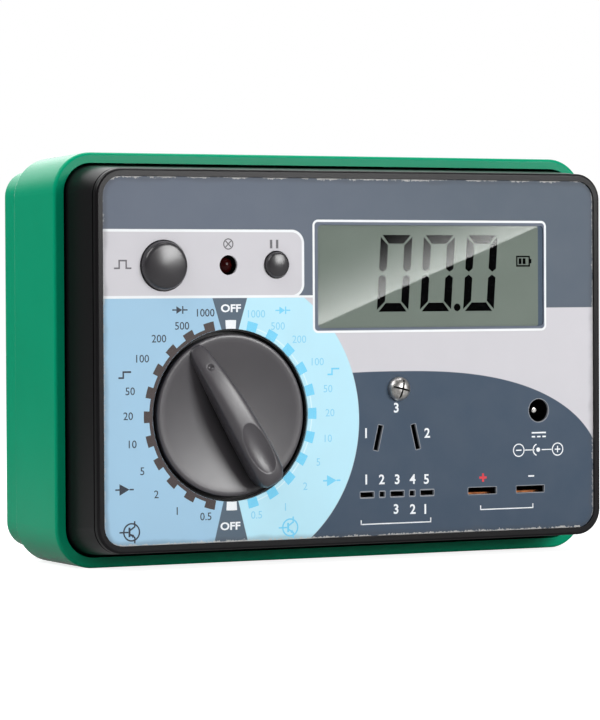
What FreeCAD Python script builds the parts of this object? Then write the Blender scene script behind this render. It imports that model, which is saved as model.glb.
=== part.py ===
"""Bench transistor tester in a two-part moulded case, as a parametric FreeCAD document.

Millimetres. The tester stands upright: +X to the right of its face, +Z up, the face looks along -Y.
The origin is the middle of the flat underside of the green rear case, half way along its wide band.
Places on the face are given from the centre of the printed panel, x to the right and z up.
"""
import FreeCAD, Part
import Sketcher
import math
import os
import re

from FreeCAD import Placement, Rotation, Vector

SIZES = {
    # green rear case: a wide band, then a step in to the rear part
    "case_width": 163.6,
    "case_height": 110.4,
    "case_corner": 10.8,
    "case_wall": 2.8,
    "band_depth": 29.4,
    "band_draft": 0.65,
    "step_inset": 3.1,
    "rear_depth": 15.3,
    "rear_corner": 7.0,
    "rear_wall": 3.6,
    "underside_trim": 0.05,
    "rim_round": 0.8,
    "step_round": 0.8,
    "back_round": 2.0,
    # black front case: its skirt goes into the rear case with a gap all round
    "rim_gap": 0.7,
    "face_draft": 1.3,
    "face_stand": 16.7,
    "face_wall": 2.2,
    "skirt_depth": 8.0,
    "lip_width": 1.9,
    "lip_height": 0.5,
    "lip_round": 0.7,
    "seam_offset": 1.7,
    "seam_width": 0.5,
    "seam_cut": 0.4,
    "plate_thickness": 2.2,
    # printed panel in the recess of the front case
    "panel_thickness": 0.8,
    "panel_gap": 0.1,
    # display: a window flush in the panel, the glass behind it, a holder down to the board
    "window_side": 16.2,
    "window_top": 12.6,
    "window_corner": 1.2,
    "window_gap": 0.1,
    "window_ledge": 0.9,
    "glass_gap": 0.15,
    "glass_thickness": 2.6,
    "holder_wall": 1.6,
    "strip_width": 2.2,
    # selector knob in its well
    "knob_radius": 21.6,
    "knob_thickness": 2.6,
    "knob_round": 0.5,
    "rest_angle": 30,
    "well_gap": 0.9,
    "collar_width": 0.45,
    "well_floor": 2.0,
    "stem_radius": 10.0,
    "stem_gap": 0.05,
    "turn_gap": 0.3,
    # finger handle across the knob
    "handle_reach": 21.2,
    "handle_width": 8.4,
    "handle_height": 6.8,
    "handle_sink": 0.6,
    "dish_place": 9.5,
    "dish_length": 16.0,
    "dish_width": 5.4,
    "dish_depth": 1.5,
    # rotor, its wipers and its detent
    "rotor_radius": 24.3,
    "ring_gap": 0.6,
    "ring_wall": 3.6,
    "ring_height": 8.5,
    "notch_radius": 1.0,
    "ball_radius": 1.5,
    "ball_gap": 0.15,
    "bore_gap": 0.1,
    "spring_length": 6.0,
    "spring_wall": 0.5,
    "wiper_rise": 1.8,
    "wiper_gap": 0.1,
    "wiper_width": 2.4,
    "wiper_thickness": 0.4,
    "wiper_length": 9.0,
    "rotor_screw_radius": 1.5,
    "rotor_screw_length": 10.0,
    # push buttons and the switches under them
    "test_radius": 6.6,
    "test_rise": 2.6,
    "test_round": 1.8,
    "test_travel": 1.5,
    "hold_radius": 3.5,
    "hold_rise": 1.8,
    "hold_round": 1.1,
    "hold_travel": 1.0,
    "button_gap": 0.25,
    "flange_width": 1.4,
    "flange_thickness": 1.2,
    "seat_gap": 0.1,
    "plunger_radius": 1.7,
    "plunger_gap": 0.06,
    "plunger_reach": 2.4,
    "switch_height": 5.0,
    "test_switch_side": 12.0,
    "hold_switch_side": 7.0,
    # warning lamp
    "lamp_radius": 2.45,
    "lamp_gap": 0.2,
    "lamp_sink": 1.0,
    "lamp_length": 8.0,
    "lamp_collar": 0.5,
    # collector terminal
    "collector_head_radius": 3.3,
    "collector_head_height": 2.6,
    "collector_head_round": 1.7,
    "collector_radius": 1.5,
    "collector_gap": 0.1,
    "nut_width": 5.5,
    "nut_height": 2.4,
    "lug_thickness": 0.5,
    "lug_width": 6.0,
    # emitter and base slots, leaning to each other
    "slant_offset": 5.8,
    "slant_length": 7.0,
    "slant_width": 1.5,
    "slant_angle": 13.5,
    # row of five transistor slots
    "row_pitch": 4.66,
    "row_length": 4.2,
    "row_width": 1.4,
    "row_hole": 1.6,
    # capacitor slots
    "capacitor_setback": 10.5,
    "capacitor_offset": 7.7,
    "capacitor_length": 9.0,
    "capacitor_width": 1.9,
    # contact blocks behind the slots
    "block_margin": 2.0,
    "block_clear": 0.45,
    "block_floor": 2.0,
    "blade_thickness": 0.4,
    "tail_width": 0.8,
    "tail_length": 3.0,
    # power jack
    "jack_radius": 3.2,
    "jack_wall": 1.6,
    "jack_floor": 2.5,
    "jack_pin_radius": 1.0,
    "jack_base_radius": 1.5,
    "jack_pin_sink": 2.4,
    # circuit board on posts of the front case
    "board_stand": 11.9,
    "board_thickness": 1.6,
    "board_gap": 0.8,
    "board_margin": 1.4,
    "post_radius": 3.0,
    "post_inset": 3.2,
    "board_screw_radius": 1.2,
    "board_screw_length": 8.0,
    "board_head_radius": 2.4,
    "board_head_height": 1.6,
    # columns and long screws that join the cases
    "column_inset": 8.0,
    "column_radius": 4.0,
    "column_split": 10.7,
    "column_land": 6.0,
    "case_screw_radius": 1.4,
    "case_screw_length": 16.0,
    "case_head_radius": 2.7,
    "case_head_height": 2.0,
    "hole_gap": 0.15,
    # converter parts on the back of the board
    "core_width": 20.0,
    "core_height": 20.0,
    "core_depth": 10.0,
    "core_leg": 4.0,
    "coil_gap": 0.3,
    "coil_swell": 3.0,
    "supply_pitch": 13.0,
    "supply_radius": 5.0,
    "supply_length": 16.0,
    "supply_chamfer": 0.8,
    "film_width": 18.0,
    "film_depth": 12.0,
    "film_height": 8.0,
    "film_round": 1.2,
    "chip_depth": 3.2,
    "converter_width": 10.0,
    "converter_height": 6.4,
    "processor_width": 26.0,
    "processor_height": 14.0,
    "lead_width": 0.6,
    # four cells in a bay that opens at the back
    "cell_radius": 7.2,
    "cell_length": 49.0,
    "cell_tip_radius": 2.7,
    "cell_tip": 1.2,
    "cell_gap": 0.4,
    "cell_chamfer": 0.6,
    "contact_room": 3.4,
    "contact_thickness": 0.5,
    "contact_width": 8.0,
    "bay_gap": 0.3,
    "bay_wall": 1.4,
    "bay_margin": 6.0,
    # sliding door over the bay
    "door_margin": 2.0,
    "door_lip": 1.0,
    "door_tongue": 1.0,
    "door_flange": 1.6,
    "door_gap": 0.15,
    "door_sill": 3.0,
    "grip_width": 18.0,
    "grip_depth": 0.6,
    "grip_bar": 1.2,
    # leads from the bay to the board
    "lead_radius": 0.75,
    "lead_spread": 9.0,
}

# centres of the pieces on the face and on the board, as parts of the panel's width and of its height
LAYOUT = {
    "display": (0.1565, 0.2268),
    "knob": (-0.2530, -0.1521),
    "test": (-0.3828, 0.2577),
    "hold": (-0.1618, 0.2598),
    "lamp": (-0.2567, 0.2588),
    "collector": (0.0846, -0.0887),
    "terminal": (0.0812, -0.2247),
    "jack": (0.3808, -0.1588),
    "transformer": (-0.2929, 0.2474),
    "supply": (0.3462, 0.2474),
    "film": (-0.3196, -0.1649),
    "converter": (0.0133, -0.3093),
    "processor": (0.0799, 0.1856),
}

NUMBERS = {
    **SIZES,
    **{f"{piece}_across": across for piece, (across, up) in LAYOUT.items()},
    **{f"{piece}_up": up for piece, (across, up) in LAYOUT.items()},
}

FORMULAS = {
    "mid_z": "case_height / 2",
    "rim_y": "-band_depth / 2",
    "step_y": "band_depth / 2",
    "back_y": "step_y + rear_depth",
    "rear_half": "case_width / 2 - band_draft - step_inset",
    "rear_top": "case_height - band_draft - step_inset",
    "skirt_width": "case_width - 2 * (case_wall + rim_gap)",
    "skirt_height": "case_height - 2 * (case_wall + rim_gap)",
    "face_width": "skirt_width - 2 * face_draft",
    "face_height": "skirt_height - 2 * face_draft",
    "face_corner": "case_corner - case_wall - rim_gap",
    "panel_width": "face_width - 2 * lip_width",
    "panel_height": "face_height - 2 * lip_width",
    "panel_corner": "face_corner - lip_width",
    **{f"{piece}_x": f"panel_width * {piece}_across" for piece in LAYOUT},
    **{f"{piece}_z": f"panel_height * {piece}_up" for piece in LAYOUT},
    "window_width": "2 * (panel_width / 2 - display_x - window_side)",
    "window_height": "2 * (panel_height / 2 - display_z - window_top)",
    "lip_y": "rim_y - face_stand",
    "panel_y": "lip_y + lip_height",
    "floor_y": "panel_y + panel_thickness",
    "plate_y": "floor_y + plate_thickness",
    "board_y": "plate_y + board_stand",
    "board_back_y": "board_y + board_thickness",
    "skirt_y": "rim_y + skirt_depth",
    "split_y": "rim_y + column_split",
    "well_radius": "knob_radius + well_gap",
    "knob_back_y": "panel_y + knob_thickness",
    "well_y": "knob_back_y + turn_gap",
    "well_back_y": "well_y + well_floor",
    "rotor_y": "well_back_y + turn_gap",
    "rotor_back_y": "board_y - wiper_gap - wiper_rise",
    "crest_radius": "rotor_radius + ring_gap",
    "ring_radius": "crest_radius + ring_wall",
    "ball_y": "(rotor_y + rotor_back_y) / 2",
    "ball_place": "crest_radius - ball_gap - ball_radius",
    "glass_width": "window_width - 2 * window_ledge",
    "glass_height": "window_height - 2 * window_ledge",
    "glass_y": "floor_y + glass_thickness",
    "column_x": "face_width / 2 - column_inset",
    "column_z": "face_height / 2 - column_inset",
    "board_half": "column_x - column_radius - board_gap",
    "board_half_height": "face_height / 2 - face_wall - board_margin",
    "post_x": "board_half - post_inset",
    "post_z": "board_half_height - post_inset",
    "capacitor_x": "jack_x - capacitor_setback",
    "capacitor_z": "-(post_z - post_radius - block_clear - block_margin - capacitor_width / 2)",
    "bay_width": "cell_length + cell_tip + 2 * contact_room",
    "bay_height": "CELLS * 2 * cell_radius + (CELLS + 1) * cell_gap",
    "bay_depth": "2 * cell_radius + 2 * bay_gap",
    "door_y": "back_y - door_lip - door_tongue",
    "bay_y": "door_y - bay_depth",
    "bay_front_y": "bay_y - bay_wall",
    "bay_top": "rear_top - bay_margin",
    "bay_bottom": "bay_top - bay_height",
    "door_half": "bay_width / 2 + door_margin",
    "door_bottom": "bay_bottom - door_sill",
    "cell_y": "door_y - bay_gap - cell_radius",
}

NOTCHES = 24
CELLS = 4
DETENT_BALLS = 2
WIPERS = 3
CORNERS = [(-1, -1), (1, -1), (1, 1), (-1, 1)]
# stations along the handle from its tip to its tail: place, width and height as parts of the handle's own
HANDLE_SECTIONS = [
    (-1.0, 0.34, 0.10),
    (-0.8, 0.50, 0.30),
    (-0.45, 0.70, 0.66),
    (-0.1, 0.84, 0.88),
    (0.35, 0.94, 0.98),
    (0.75, 1.0, 1.0),
    (0.95, 0.86, 0.86),
    (1.0, 0.66, 0.62),
]
SECTION_SHOULDER = 0.78
SECTION_CROWN = 0.22

doc = FreeCAD.newDocument("transistor_tester")
sheet = doc.addObject("Spreadsheet::Sheet", "Dims")


def fill_sheet():
    """Driving sizes as plain numbers, then the places that follow from them as formulas."""
    for row, (alias, number) in enumerate(NUMBERS.items(), start=1):
        sheet.set(f"A{row}", alias)
        sheet.set(f"B{row}", str(number))
        sheet.setAlias(f"B{row}", alias)
    for row, (alias, formula) in enumerate(FORMULAS.items(), start=1):
        sheet.set(f"D{row}", alias)
        sheet.set(f"E{row}", "=" + formula.replace("CELLS", str(CELLS)))
        sheet.setAlias(f"E{row}", alias)
    doc.recompute()


def linked(formula):
    """A formula in the sheet's names, as an expression that any object can hold."""
    known = lambda word: f"Dims.{word[0]}" if word[0] in NUMBERS or word[0] in FORMULAS else word[0]
    return re.sub(r"[a-z]\w*", known, str(formula))


def size(formula):
    """The number that a formula in the sheet's names comes to now."""
    return float(sheet.evalExpression(str(formula)))


def bind(item, **formulas):
    """Tie properties to formulas; two underscores stand for a dot."""
    for name, formula in formulas.items():
        item.setExpression(name.replace("__", "."), linked(formula))


def place(item, x=0, y=0, z=0, rotation=None):
    """Tie an object's origin to formulas, after an optional turn."""
    item.Placement = Placement(Vector(), rotation or Rotation())
    bind(item, Placement__Base__x=x, Placement__Base__y=y, Placement__Base__z=z)
    return item


# Solids from Part primitives

ALONG = {
    "x": Rotation(Vector(0, 1, 0), 90),
    "y": Rotation(Vector(1, 0, 0), -90),
    "z": Rotation(),
}


def block(name, left, right, front, back, bottom, top):
    """A box given by its six faces."""
    item = doc.addObject("Part::Box", name)
    bind(item, Length=f"({right}) - ({left})", Width=f"({back}) - ({front})", Height=f"({top}) - ({bottom})")
    return place(item, left, front, bottom)


def centred_block(name, x, z, width, height, front, back):
    """A box centred on a place of the face, between two depths."""
    middle = f"mid_z + ({z})"
    return block(name, f"{x} - ({width}) / 2", f"{x} + ({width}) / 2", front, back,
                 f"{middle} - ({height}) / 2", f"{middle} + ({height}) / 2")


def rod(name, radius, length, x, y, z, along="y"):
    """A cylinder that starts at a point and runs along +X, +Y or +Z."""
    item = doc.addObject("Part::Cylinder", name)
    bind(item, Radius=radius, Height=length)
    return place(item, x, y, z, ALONG[along])


def joined(label, *items):
    """One solid, or one node, from several."""
    item = doc.addObject("Part::MultiFuse", label)
    item.Shapes = list(items)
    return item


def carved(label, base, *tools):
    """A solid with other solids taken out of it."""
    item = doc.addObject("Part::Cut", label)
    item.Base = base
    item.Tool = tools[0] if len(tools) == 1 else joined(f"{label}_tools", *tools)
    return item


def grouped(label, items):
    """Separate solids of one kind in one node."""
    item = doc.addObject("Part::Compound", label)
    item.Links = list(items)
    return item


def softened(label, base, radius, chosen, kind="Part::Fillet"):
    """Round or chamfer the edges of a solid that a test picks out."""
    doc.recompute()
    item = doc.addObject(kind, label)
    item.Base = base
    picked = [number for number, edge in enumerate(base.Shape.Edges, start=1) if chosen(edge)]
    item.Edges = [(number, size(radius), size(radius)) for number in picked]
    return item


# Solids from sketches

def new_body(label, x=0, y=0, z=0, rotation=None):
    """A body whose sketches are drawn from its own origin."""
    body = doc.addObject("PartDesign::Body", label)
    return place(body, x, y, z, rotation)


def sketch_on(body, name, role="XZ_Plane", back=0, x=0, z=0, turn=0):
    """A sketch on one of the body's origin planes; the face's own plane is XZ, set back towards +Y."""
    sketch = body.newObject("Sketcher::SketchObject", f"{body.Name}_{name}")
    plane = next(item for item in body.Origin.OriginFeatures if item.Role == role)
    sketch.AttachmentSupport = [(plane, "")]
    sketch.MapMode = "FlatFace"
    sketch.AttachmentOffset = Placement(Vector(), Rotation(Vector(0, 0, 1), turn))
    bind(sketch, AttachmentOffset__Base__z=f"-({back})" if role == "XZ_Plane" else back)
    bind(sketch, AttachmentOffset__Base__x=x, AttachmentOffset__Base__y=z)
    return sketch


def fix_point(sketch, element, end, x, z):
    """Hold a point of a sketch element at a place given by formulas."""
    for kind, formula in (("DistanceX", x), ("DistanceY", z)):
        if formula is None:
            continue
        number = sketch.addConstraint(Sketcher.Constraint(kind, -1, 1, element, end, size(formula)))
        sketch.setExpression(f"Constraints[{number}]", linked(formula))


def draw_circle(sketch, radius, x=0, z=0):
    """A circle held by its centre and radius."""
    centre = Vector(size(x), size(z), 0)
    element = sketch.addGeometry(Part.Circle(centre, Vector(0, 0, 1), size(radius)))
    fix_point(sketch, element, 3, x, z)
    number = sketch.addConstraint(Sketcher.Constraint("Radius", element, size(radius)))
    sketch.setExpression(f"Constraints[{number}]", linked(radius))


def draw_rectangle(sketch, left, right, bottom, top):
    """A rectangle held by its four sides."""
    xs = [left, right, right, left]
    zs = [bottom, bottom, top, top]
    corners = [Vector(size(x), size(z), 0) for x, z in zip(xs, zs)]
    sides = [sketch.addGeometry(Part.LineSegment(corners[k], corners[(k + 1) % 4])) for k in range(4)]
    for k in range(4):
        sketch.addConstraint(Sketcher.Constraint("Coincident", sides[k], 2, sides[(k + 1) % 4], 1))
        fix_point(sketch, sides[k], 1, xs[k], zs[k])


def draw_rounded_rectangle(sketch, left, right, bottom, top, corner):
    """A rectangle with round corners, held by its four sides and the corner radius."""
    low_x, high_x, low_z, high_z = (size(formula) for formula in (left, right, bottom, top))
    radius = size(corner)
    starts = [(low_x + radius, low_z), (high_x, low_z + radius),
              (high_x - radius, high_z), (low_x, high_z - radius)]
    ends = [(high_x - radius, low_z), (high_x, high_z - radius),
            (low_x + radius, high_z), (low_x, low_z + radius)]
    centres = [(high_x - radius, low_z + radius), (high_x - radius, high_z - radius),
               (low_x + radius, high_z - radius), (low_x + radius, low_z + radius)]
    sides = []
    arcs = []
    for k in range(4):
        sides.append(sketch.addGeometry(Part.LineSegment(Vector(*starts[k], 0), Vector(*ends[k], 0))))
        circle = Part.Circle(Vector(*centres[k], 0), Vector(0, 0, 1), radius)
        first = (k - 1) * math.pi / 2
        arcs.append(sketch.addGeometry(Part.ArcOfCircle(circle, first, first + math.pi / 2)))
    for k in range(4):
        sketch.addConstraint(Sketcher.Constraint("Tangent", sides[k], 2, arcs[k], 1))
        sketch.addConstraint(Sketcher.Constraint("Tangent", arcs[k], 2, sides[(k + 1) % 4], 1))
    sketch.addConstraint([Sketcher.Constraint("Horizontal", sides[k]) for k in (0, 2)])
    sketch.addConstraint([Sketcher.Constraint("Vertical", sides[k]) for k in (1, 3)])
    sketch.addConstraint([Sketcher.Constraint("Equal", arcs[0], arcs[k]) for k in (1, 2, 3)])
    number = sketch.addConstraint(Sketcher.Constraint("Radius", arcs[0], radius))
    sketch.setExpression(f"Constraints[{number}]", linked(corner))
    fix_point(sketch, sides[0], 1, None, bottom)
    fix_point(sketch, sides[1], 1, right, None)
    fix_point(sketch, sides[2], 1, None, top)
    fix_point(sketch, sides[3], 1, left, None)


def draw_centred(sketch, width, height, corner, x=0, z=0):
    """A round-cornered rectangle about a place of the face."""
    draw_rounded_rectangle(sketch, f"{x} - ({width}) / 2", f"{x} + ({width}) / 2",
                           f"{z} - ({height}) / 2", f"{z} + ({height}) / 2", corner)


def pad(body, sketch, length, backwards=True):
    """Thicken a sketch on the face's plane, towards +Y unless told otherwise."""
    item = body.newObject("PartDesign::Pad", f"{sketch.Name}_pad")
    item.Profile = sketch
    item.Reversed = backwards
    bind(item, Length=length)
    return item


def pocket(body, sketch, length, forwards=False):
    """Cut a sketch on the face's plane towards +Y, or towards -Y, and see that it took something away."""
    doc.recompute()
    before = body.Shape.Volume
    item = body.newObject("PartDesign::Pocket", f"{sketch.Name}_pocket")
    item.Profile = sketch
    item.Reversed = forwards
    bind(item, Length=length)
    doc.recompute()
    if not body.Shape.Volume < before:
        raise RuntimeError(f"{item.Name} cuts nothing")
    return item


def loft(body, sections, ruled=True):
    """A solid through sketches that follow one another."""
    item = body.newObject("PartDesign::AdditiveLoft", f"{sections[0].Name}_loft")
    item.Profile = sections[0]
    item.Sections = sections[1:]
    item.Ruled = ruled
    return item


def round_edges(body, name, radius, chosen):
    """Round the edges of the body that a test picks out."""
    doc.recompute()
    base = body.Tip
    names = [f"Edge{n}" for n, edge in enumerate(base.Shape.Edges, start=1) if chosen(edge)]
    item = body.newObject("PartDesign::Fillet", f"{body.Name}_{name}")
    item.Base = (base, names)
    bind(item, Radius=radius)
    return item


def at_depth(y):
    """A test for edges that lie wholly at one depth of their body."""
    return lambda edge: abs(edge.BoundBox.YMin - size(y)) < 1e-4 and abs(edge.BoundBox.YMax - size(y)) < 1e-4


def on_outline(y, half_width, low, high):
    """A test for edges at one depth that run along an outline's sides, top, bottom or corners."""
    flat = at_depth(y)

    def chosen(edge):
        box = edge.BoundBox
        outside = [abs(box.XMin + size(half_width)), abs(box.XMax - size(half_width)),
                   abs(box.ZMin - size(low)), abs(box.ZMax - size(high))]
        return flat(edge) and min(outside) < 1e-4

    return chosen


# The two cases

def rear_case():
    """Green tub: drafted band with a flat underside, step, rear part, cell bay, door slot, screw columns."""
    body = new_body("rear_case", y="rim_y")
    rim = sketch_on(body, "rim")
    draw_rounded_rectangle(rim, "-case_width / 2", "case_width / 2",
                           "-underside_trim", "case_height", "case_corner")
    step = sketch_on(body, "step", back="band_depth")
    draw_rounded_rectangle(step, "-case_width / 2 + band_draft", "case_width / 2 - band_draft",
                           "-underside_trim", "case_height - band_draft", "case_corner")
    loft(body, [rim, step])
    rear = sketch_on(body, "rear", back="band_depth")
    draw_rounded_rectangle(rear, "-rear_half", "rear_half", "step_inset", "rear_top", "rear_corner")
    pad(body, rear, "rear_depth")
    round_edges(body, "back_edge", "back_round", at_depth("band_depth + rear_depth"))
    step_edge = on_outline("band_depth", "case_width / 2 - band_draft", "-underside_trim",
                           "case_height - band_draft")
    round_edges(body, "step_edge", "step_round", step_edge)
    round_edges(body, "rim_edge", "rim_round", at_depth("0"))
    underside = sketch_on(body, "underside")
    draw_rectangle(underside, "-case_width / 2", "case_width / 2", "-underside_trim", "0")
    pocket(body, underside, "band_depth")
    hollow_rear_case(body)
    cell_bay(body)
    door_slot(body)
    rear_columns(body)
    return body


def hollow_rear_case(body):
    """The tub's inside, first the band and then the rear part."""
    band = sketch_on(body, "band_inside")
    draw_rounded_rectangle(band, "-case_width / 2 + case_wall", "case_width / 2 - case_wall",
                           "case_wall", "case_height - case_wall", "case_corner - case_wall")
    pocket(body, band, "band_depth - case_wall")
    rear = sketch_on(body, "rear_inside", back="band_depth - case_wall")
    draw_rounded_rectangle(rear, "-rear_half + case_wall", "rear_half - case_wall",
                           "step_inset + case_wall", "rear_top - case_wall", "rear_corner - case_wall")
    pocket(body, rear, "case_wall + rear_depth - rear_wall")


def cell_bay(body):
    """A box inside the rear part, open at the back."""
    walls = sketch_on(body, "bay_walls", back="bay_front_y - rim_y")
    draw_rectangle(walls, "-bay_width / 2 - bay_wall", "bay_width / 2 + bay_wall",
                   "bay_bottom - bay_wall", "bay_top + bay_wall")
    pad(body, walls, "back_y - rear_wall - bay_front_y")
    inside = sketch_on(body, "bay_inside", back="bay_y - rim_y")
    draw_rectangle(inside, "-bay_width / 2", "bay_width / 2", "bay_bottom", "bay_top")
    pocket(body, inside, "back_y - bay_y")


def door_slot(body):
    """Slot for the door, open at the top, with grooves under its side lips."""
    mouth = sketch_on(body, "door_mouth", back="back_y - rim_y")
    draw_rectangle(mouth, "-door_half - door_gap", "door_half + door_gap",
                   "door_bottom - door_gap", "case_height")
    pocket(body, mouth, "door_lip", forwards=True)
    groove = sketch_on(body, "door_groove", back="back_y - rim_y - door_lip")
    draw_rectangle(groove, "-door_half - door_flange - door_gap", "door_half + door_flange + door_gap",
                   "door_bottom - door_gap", "case_height")
    pocket(body, groove, "door_tongue", forwards=True)


def draw_corners(sketch, radius, x, z):
    """Four like circles about the centre of the face."""
    for side, level in CORNERS:
        draw_circle(sketch, radius, f"{side} * {x}", f"{level} * {z}")


def rear_columns(body):
    """Screw columns with a deep counterbore from the back."""
    face = sketch_on(body, "columns", back="split_y - rim_y", z="mid_z")
    draw_corners(face, "column_radius", "column_x", "column_z")
    pad(body, face, "back_y - rear_wall - split_y")
    bore = sketch_on(body, "counterbores", back="split_y + column_land - rim_y", z="mid_z")
    draw_corners(bore, "case_head_radius + hole_gap", "column_x", "column_z")
    pocket(body, bore, "back_y - split_y - column_land")
    hole = sketch_on(body, "screw_holes", back="split_y - rim_y", z="mid_z")
    draw_corners(hole, "case_screw_radius + hole_gap", "column_x", "column_z")
    pocket(body, hole, "column_land")


def front_case():
    """Black front: drafted wall, skirt, seam, raised lip, panel recess, knob well, posts and columns."""
    body = new_body("front_case", y="lip_y", z="mid_z")
    front = sketch_on(body, "front")
    draw_centred(front, "face_width", "face_height", "face_corner")
    rim = sketch_on(body, "rim", back="face_stand")
    draw_centred(rim, "skirt_width", "skirt_height", "face_corner")
    loft(body, [front, rim])
    skirt = sketch_on(body, "skirt", back="face_stand")
    draw_centred(skirt, "skirt_width", "skirt_height", "face_corner")
    pad(body, skirt, "skirt_depth")
    round_edges(body, "lip_edge", "lip_round", at_depth("0"))
    seam = sketch_on(body, "seam", back="seam_offset")
    draw_centred(seam, "skirt_width", "skirt_height", "face_corner")
    draw_centred(seam, "face_width - 2 * seam_cut", "face_height - 2 * seam_cut", "face_corner - seam_cut")
    pocket(body, seam, "seam_width")
    inside = sketch_on(body, "inside", back="plate_y - lip_y")
    draw_centred(inside, "face_width - 2 * face_wall", "face_height - 2 * face_wall",
                 "face_corner - face_wall")
    pocket(body, inside, "skirt_y - plate_y")
    recess = sketch_on(body, "recess")
    draw_centred(recess, "panel_width", "panel_height", "panel_corner")
    pocket(body, recess, "floor_y - lip_y")
    knob_well(body)
    face_openings(body, "floor_y - lip_y", "plate_thickness", "button_gap")
    window = sketch_on(body, "glass_opening", back="floor_y - lip_y")
    draw_centred(window, "glass_width", "glass_height", "window_corner", "display_x", "display_z")
    pocket(body, window, "plate_thickness")
    front_columns(body)
    return body


def knob_well(body):
    """Round well for the knob, with a bearing hole for its stem in the floor."""
    boss = sketch_on(body, "well_boss", back="plate_y - lip_y")
    draw_circle(boss, "rotor_radius", "knob_x", "knob_z")
    pad(body, boss, "well_back_y - plate_y")
    well = sketch_on(body, "well", back="floor_y - lip_y")
    draw_circle(well, "well_radius", "knob_x", "knob_z")
    pocket(body, well, "well_y - floor_y")
    bearing = sketch_on(body, "bearing", back="well_y - lip_y")
    draw_circle(bearing, "stem_radius + stem_gap", "knob_x", "knob_z")
    pocket(body, bearing, "well_floor")


def slanted_slots():
    """Emitter and base slots: side of the group, place across, and lean."""
    lean = size("slant_angle")
    return [("emitter", "terminal_x - slant_offset", -lean), ("base", "terminal_x + slant_offset", lean)]


def row_places():
    """The five slots of the transistor row: number, place across and length."""
    lengths = ["row_length", "row_hole", "row_length", "row_hole", "row_length"]
    return [(k, f"terminal_x + {k - 2} * row_pitch", lengths[k]) for k in range(5)]


def face_openings(body, back, depth, gap):
    """Every opening of the face but the knob's and the window's, cut to one depth."""
    holes = sketch_on(body, "holes", back=back)
    draw_circle(holes, f"test_radius + {gap}", "test_x", "test_z")
    draw_circle(holes, f"hold_radius + {gap}", "hold_x", "hold_z")
    draw_circle(holes, "lamp_radius + lamp_gap", "lamp_x", "lamp_z")
    draw_circle(holes, "collector_radius + collector_gap", "collector_x", "collector_z")
    draw_circle(holes, "jack_radius", "jack_x", "jack_z")
    for number, x, length in row_places():
        draw_rectangle(holes, f"{x} - {length} / 2", f"{x} + {length} / 2",
                       "capacitor_z - row_width / 2", "capacitor_z + row_width / 2")
    for side in (-1, 1):
        x = f"capacitor_x + {side} * capacitor_offset"
        draw_rectangle(holes, f"{x} - capacitor_length / 2", f"{x} + capacitor_length / 2",
                       "capacitor_z - capacitor_width / 2", "capacitor_z + capacitor_width / 2")
    pocket(body, holes, depth)
    for name, x, lean in slanted_slots():
        slot = sketch_on(body, f"{name}_slot", back=back, x=x, z="terminal_z", turn=lean)
        draw_rectangle(slot, "-slant_width / 2", "slant_width / 2", "-slant_length / 2", "slant_length / 2")
        pocket(body, slot, depth)


def front_columns(body):
    """Posts for the board and columns for the long screws, with their blind holes."""
    posts = sketch_on(body, "posts", back="plate_y - lip_y")
    draw_corners(posts, "post_radius", "post_x", "post_z")
    pad(body, posts, "board_stand")
    columns = sketch_on(body, "columns", back="plate_y - lip_y")
    draw_corners(columns, "column_radius", "column_x", "column_z")
    pad(body, columns, "split_y - plate_y")
    post_holes = sketch_on(body, "post_holes", back="board_y - lip_y")
    draw_corners(post_holes, "board_screw_radius", "post_x", "post_z")
    pocket(body, post_holes, "board_screw_length - board_thickness", forwards=True)
    column_holes = sketch_on(body, "column_holes", back="split_y - lip_y")
    draw_corners(column_holes, "case_screw_radius", "column_x", "column_z")
    pocket(body, column_holes, "case_screw_length - column_land", forwards=True)


def pan_screws(label, x, z, radius, length, head_radius, head_height, head_y):
    """Four like screws at the corners of the face; the shanks run to -Y from heads that face +Y."""
    screws = []
    for number, (side, level) in enumerate(CORNERS, start=1):
        at_x = f"{side} * {x}"
        at_z = f"mid_z + {level} * {z}"
        head = rod(f"{label}_head_{number}", head_radius, head_height, at_x, head_y, at_z)
        shank = rod(f"{label}_shank_{number}", radius, length, at_x, f"{head_y} - {length}", at_z)
        screws.append(joined(f"{label}_{number}", head, shank))
    return grouped(label, screws)


# Panel and display

def front_panel():
    """Printed panel with the knob hole, the window opening and every slot and hole."""
    body = new_body("front_panel", y="panel_y", z="mid_z")
    outline = sketch_on(body, "outline")
    draw_centred(outline, "panel_width - 2 * panel_gap", "panel_height - 2 * panel_gap",
                 "panel_corner - panel_gap")
    pad(body, outline, "panel_thickness")
    knob_hole = sketch_on(body, "knob_hole")
    draw_circle(knob_hole, "well_radius + collar_width", "knob_x", "knob_z")
    pocket(body, knob_hole, "panel_thickness")
    window = sketch_on(body, "window")
    draw_centred(window, "window_width", "window_height", "window_corner", "display_x", "display_z")
    pocket(body, window, "panel_thickness")
    face_openings(body, "0", "panel_thickness", "button_gap")
    return body


def face_plate(label, y, width, height, thickness, corner):
    """A round-cornered plate on the display's centre."""
    body = new_body(label, x="display_x", y=y, z="mid_z + display_z")
    outline = sketch_on(body, "outline")
    draw_centred(outline, width, height, corner)
    pad(body, outline, thickness)
    return body


def display_window():
    """Clear window, flush with the panel and resting on the front case's ledge."""
    return face_plate("display_window", "panel_y", "window_width - 2 * window_gap",
                      "window_height - 2 * window_gap", "panel_thickness", "window_corner - window_gap")


def display_glass():
    """Liquid-crystal glass in the front case's opening, against the back of the window."""
    return face_plate("display_glass", "floor_y", "glass_width - 2 * glass_gap",
                      "glass_height - 2 * glass_gap", "glass_thickness", "window_corner - glass_gap")


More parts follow.
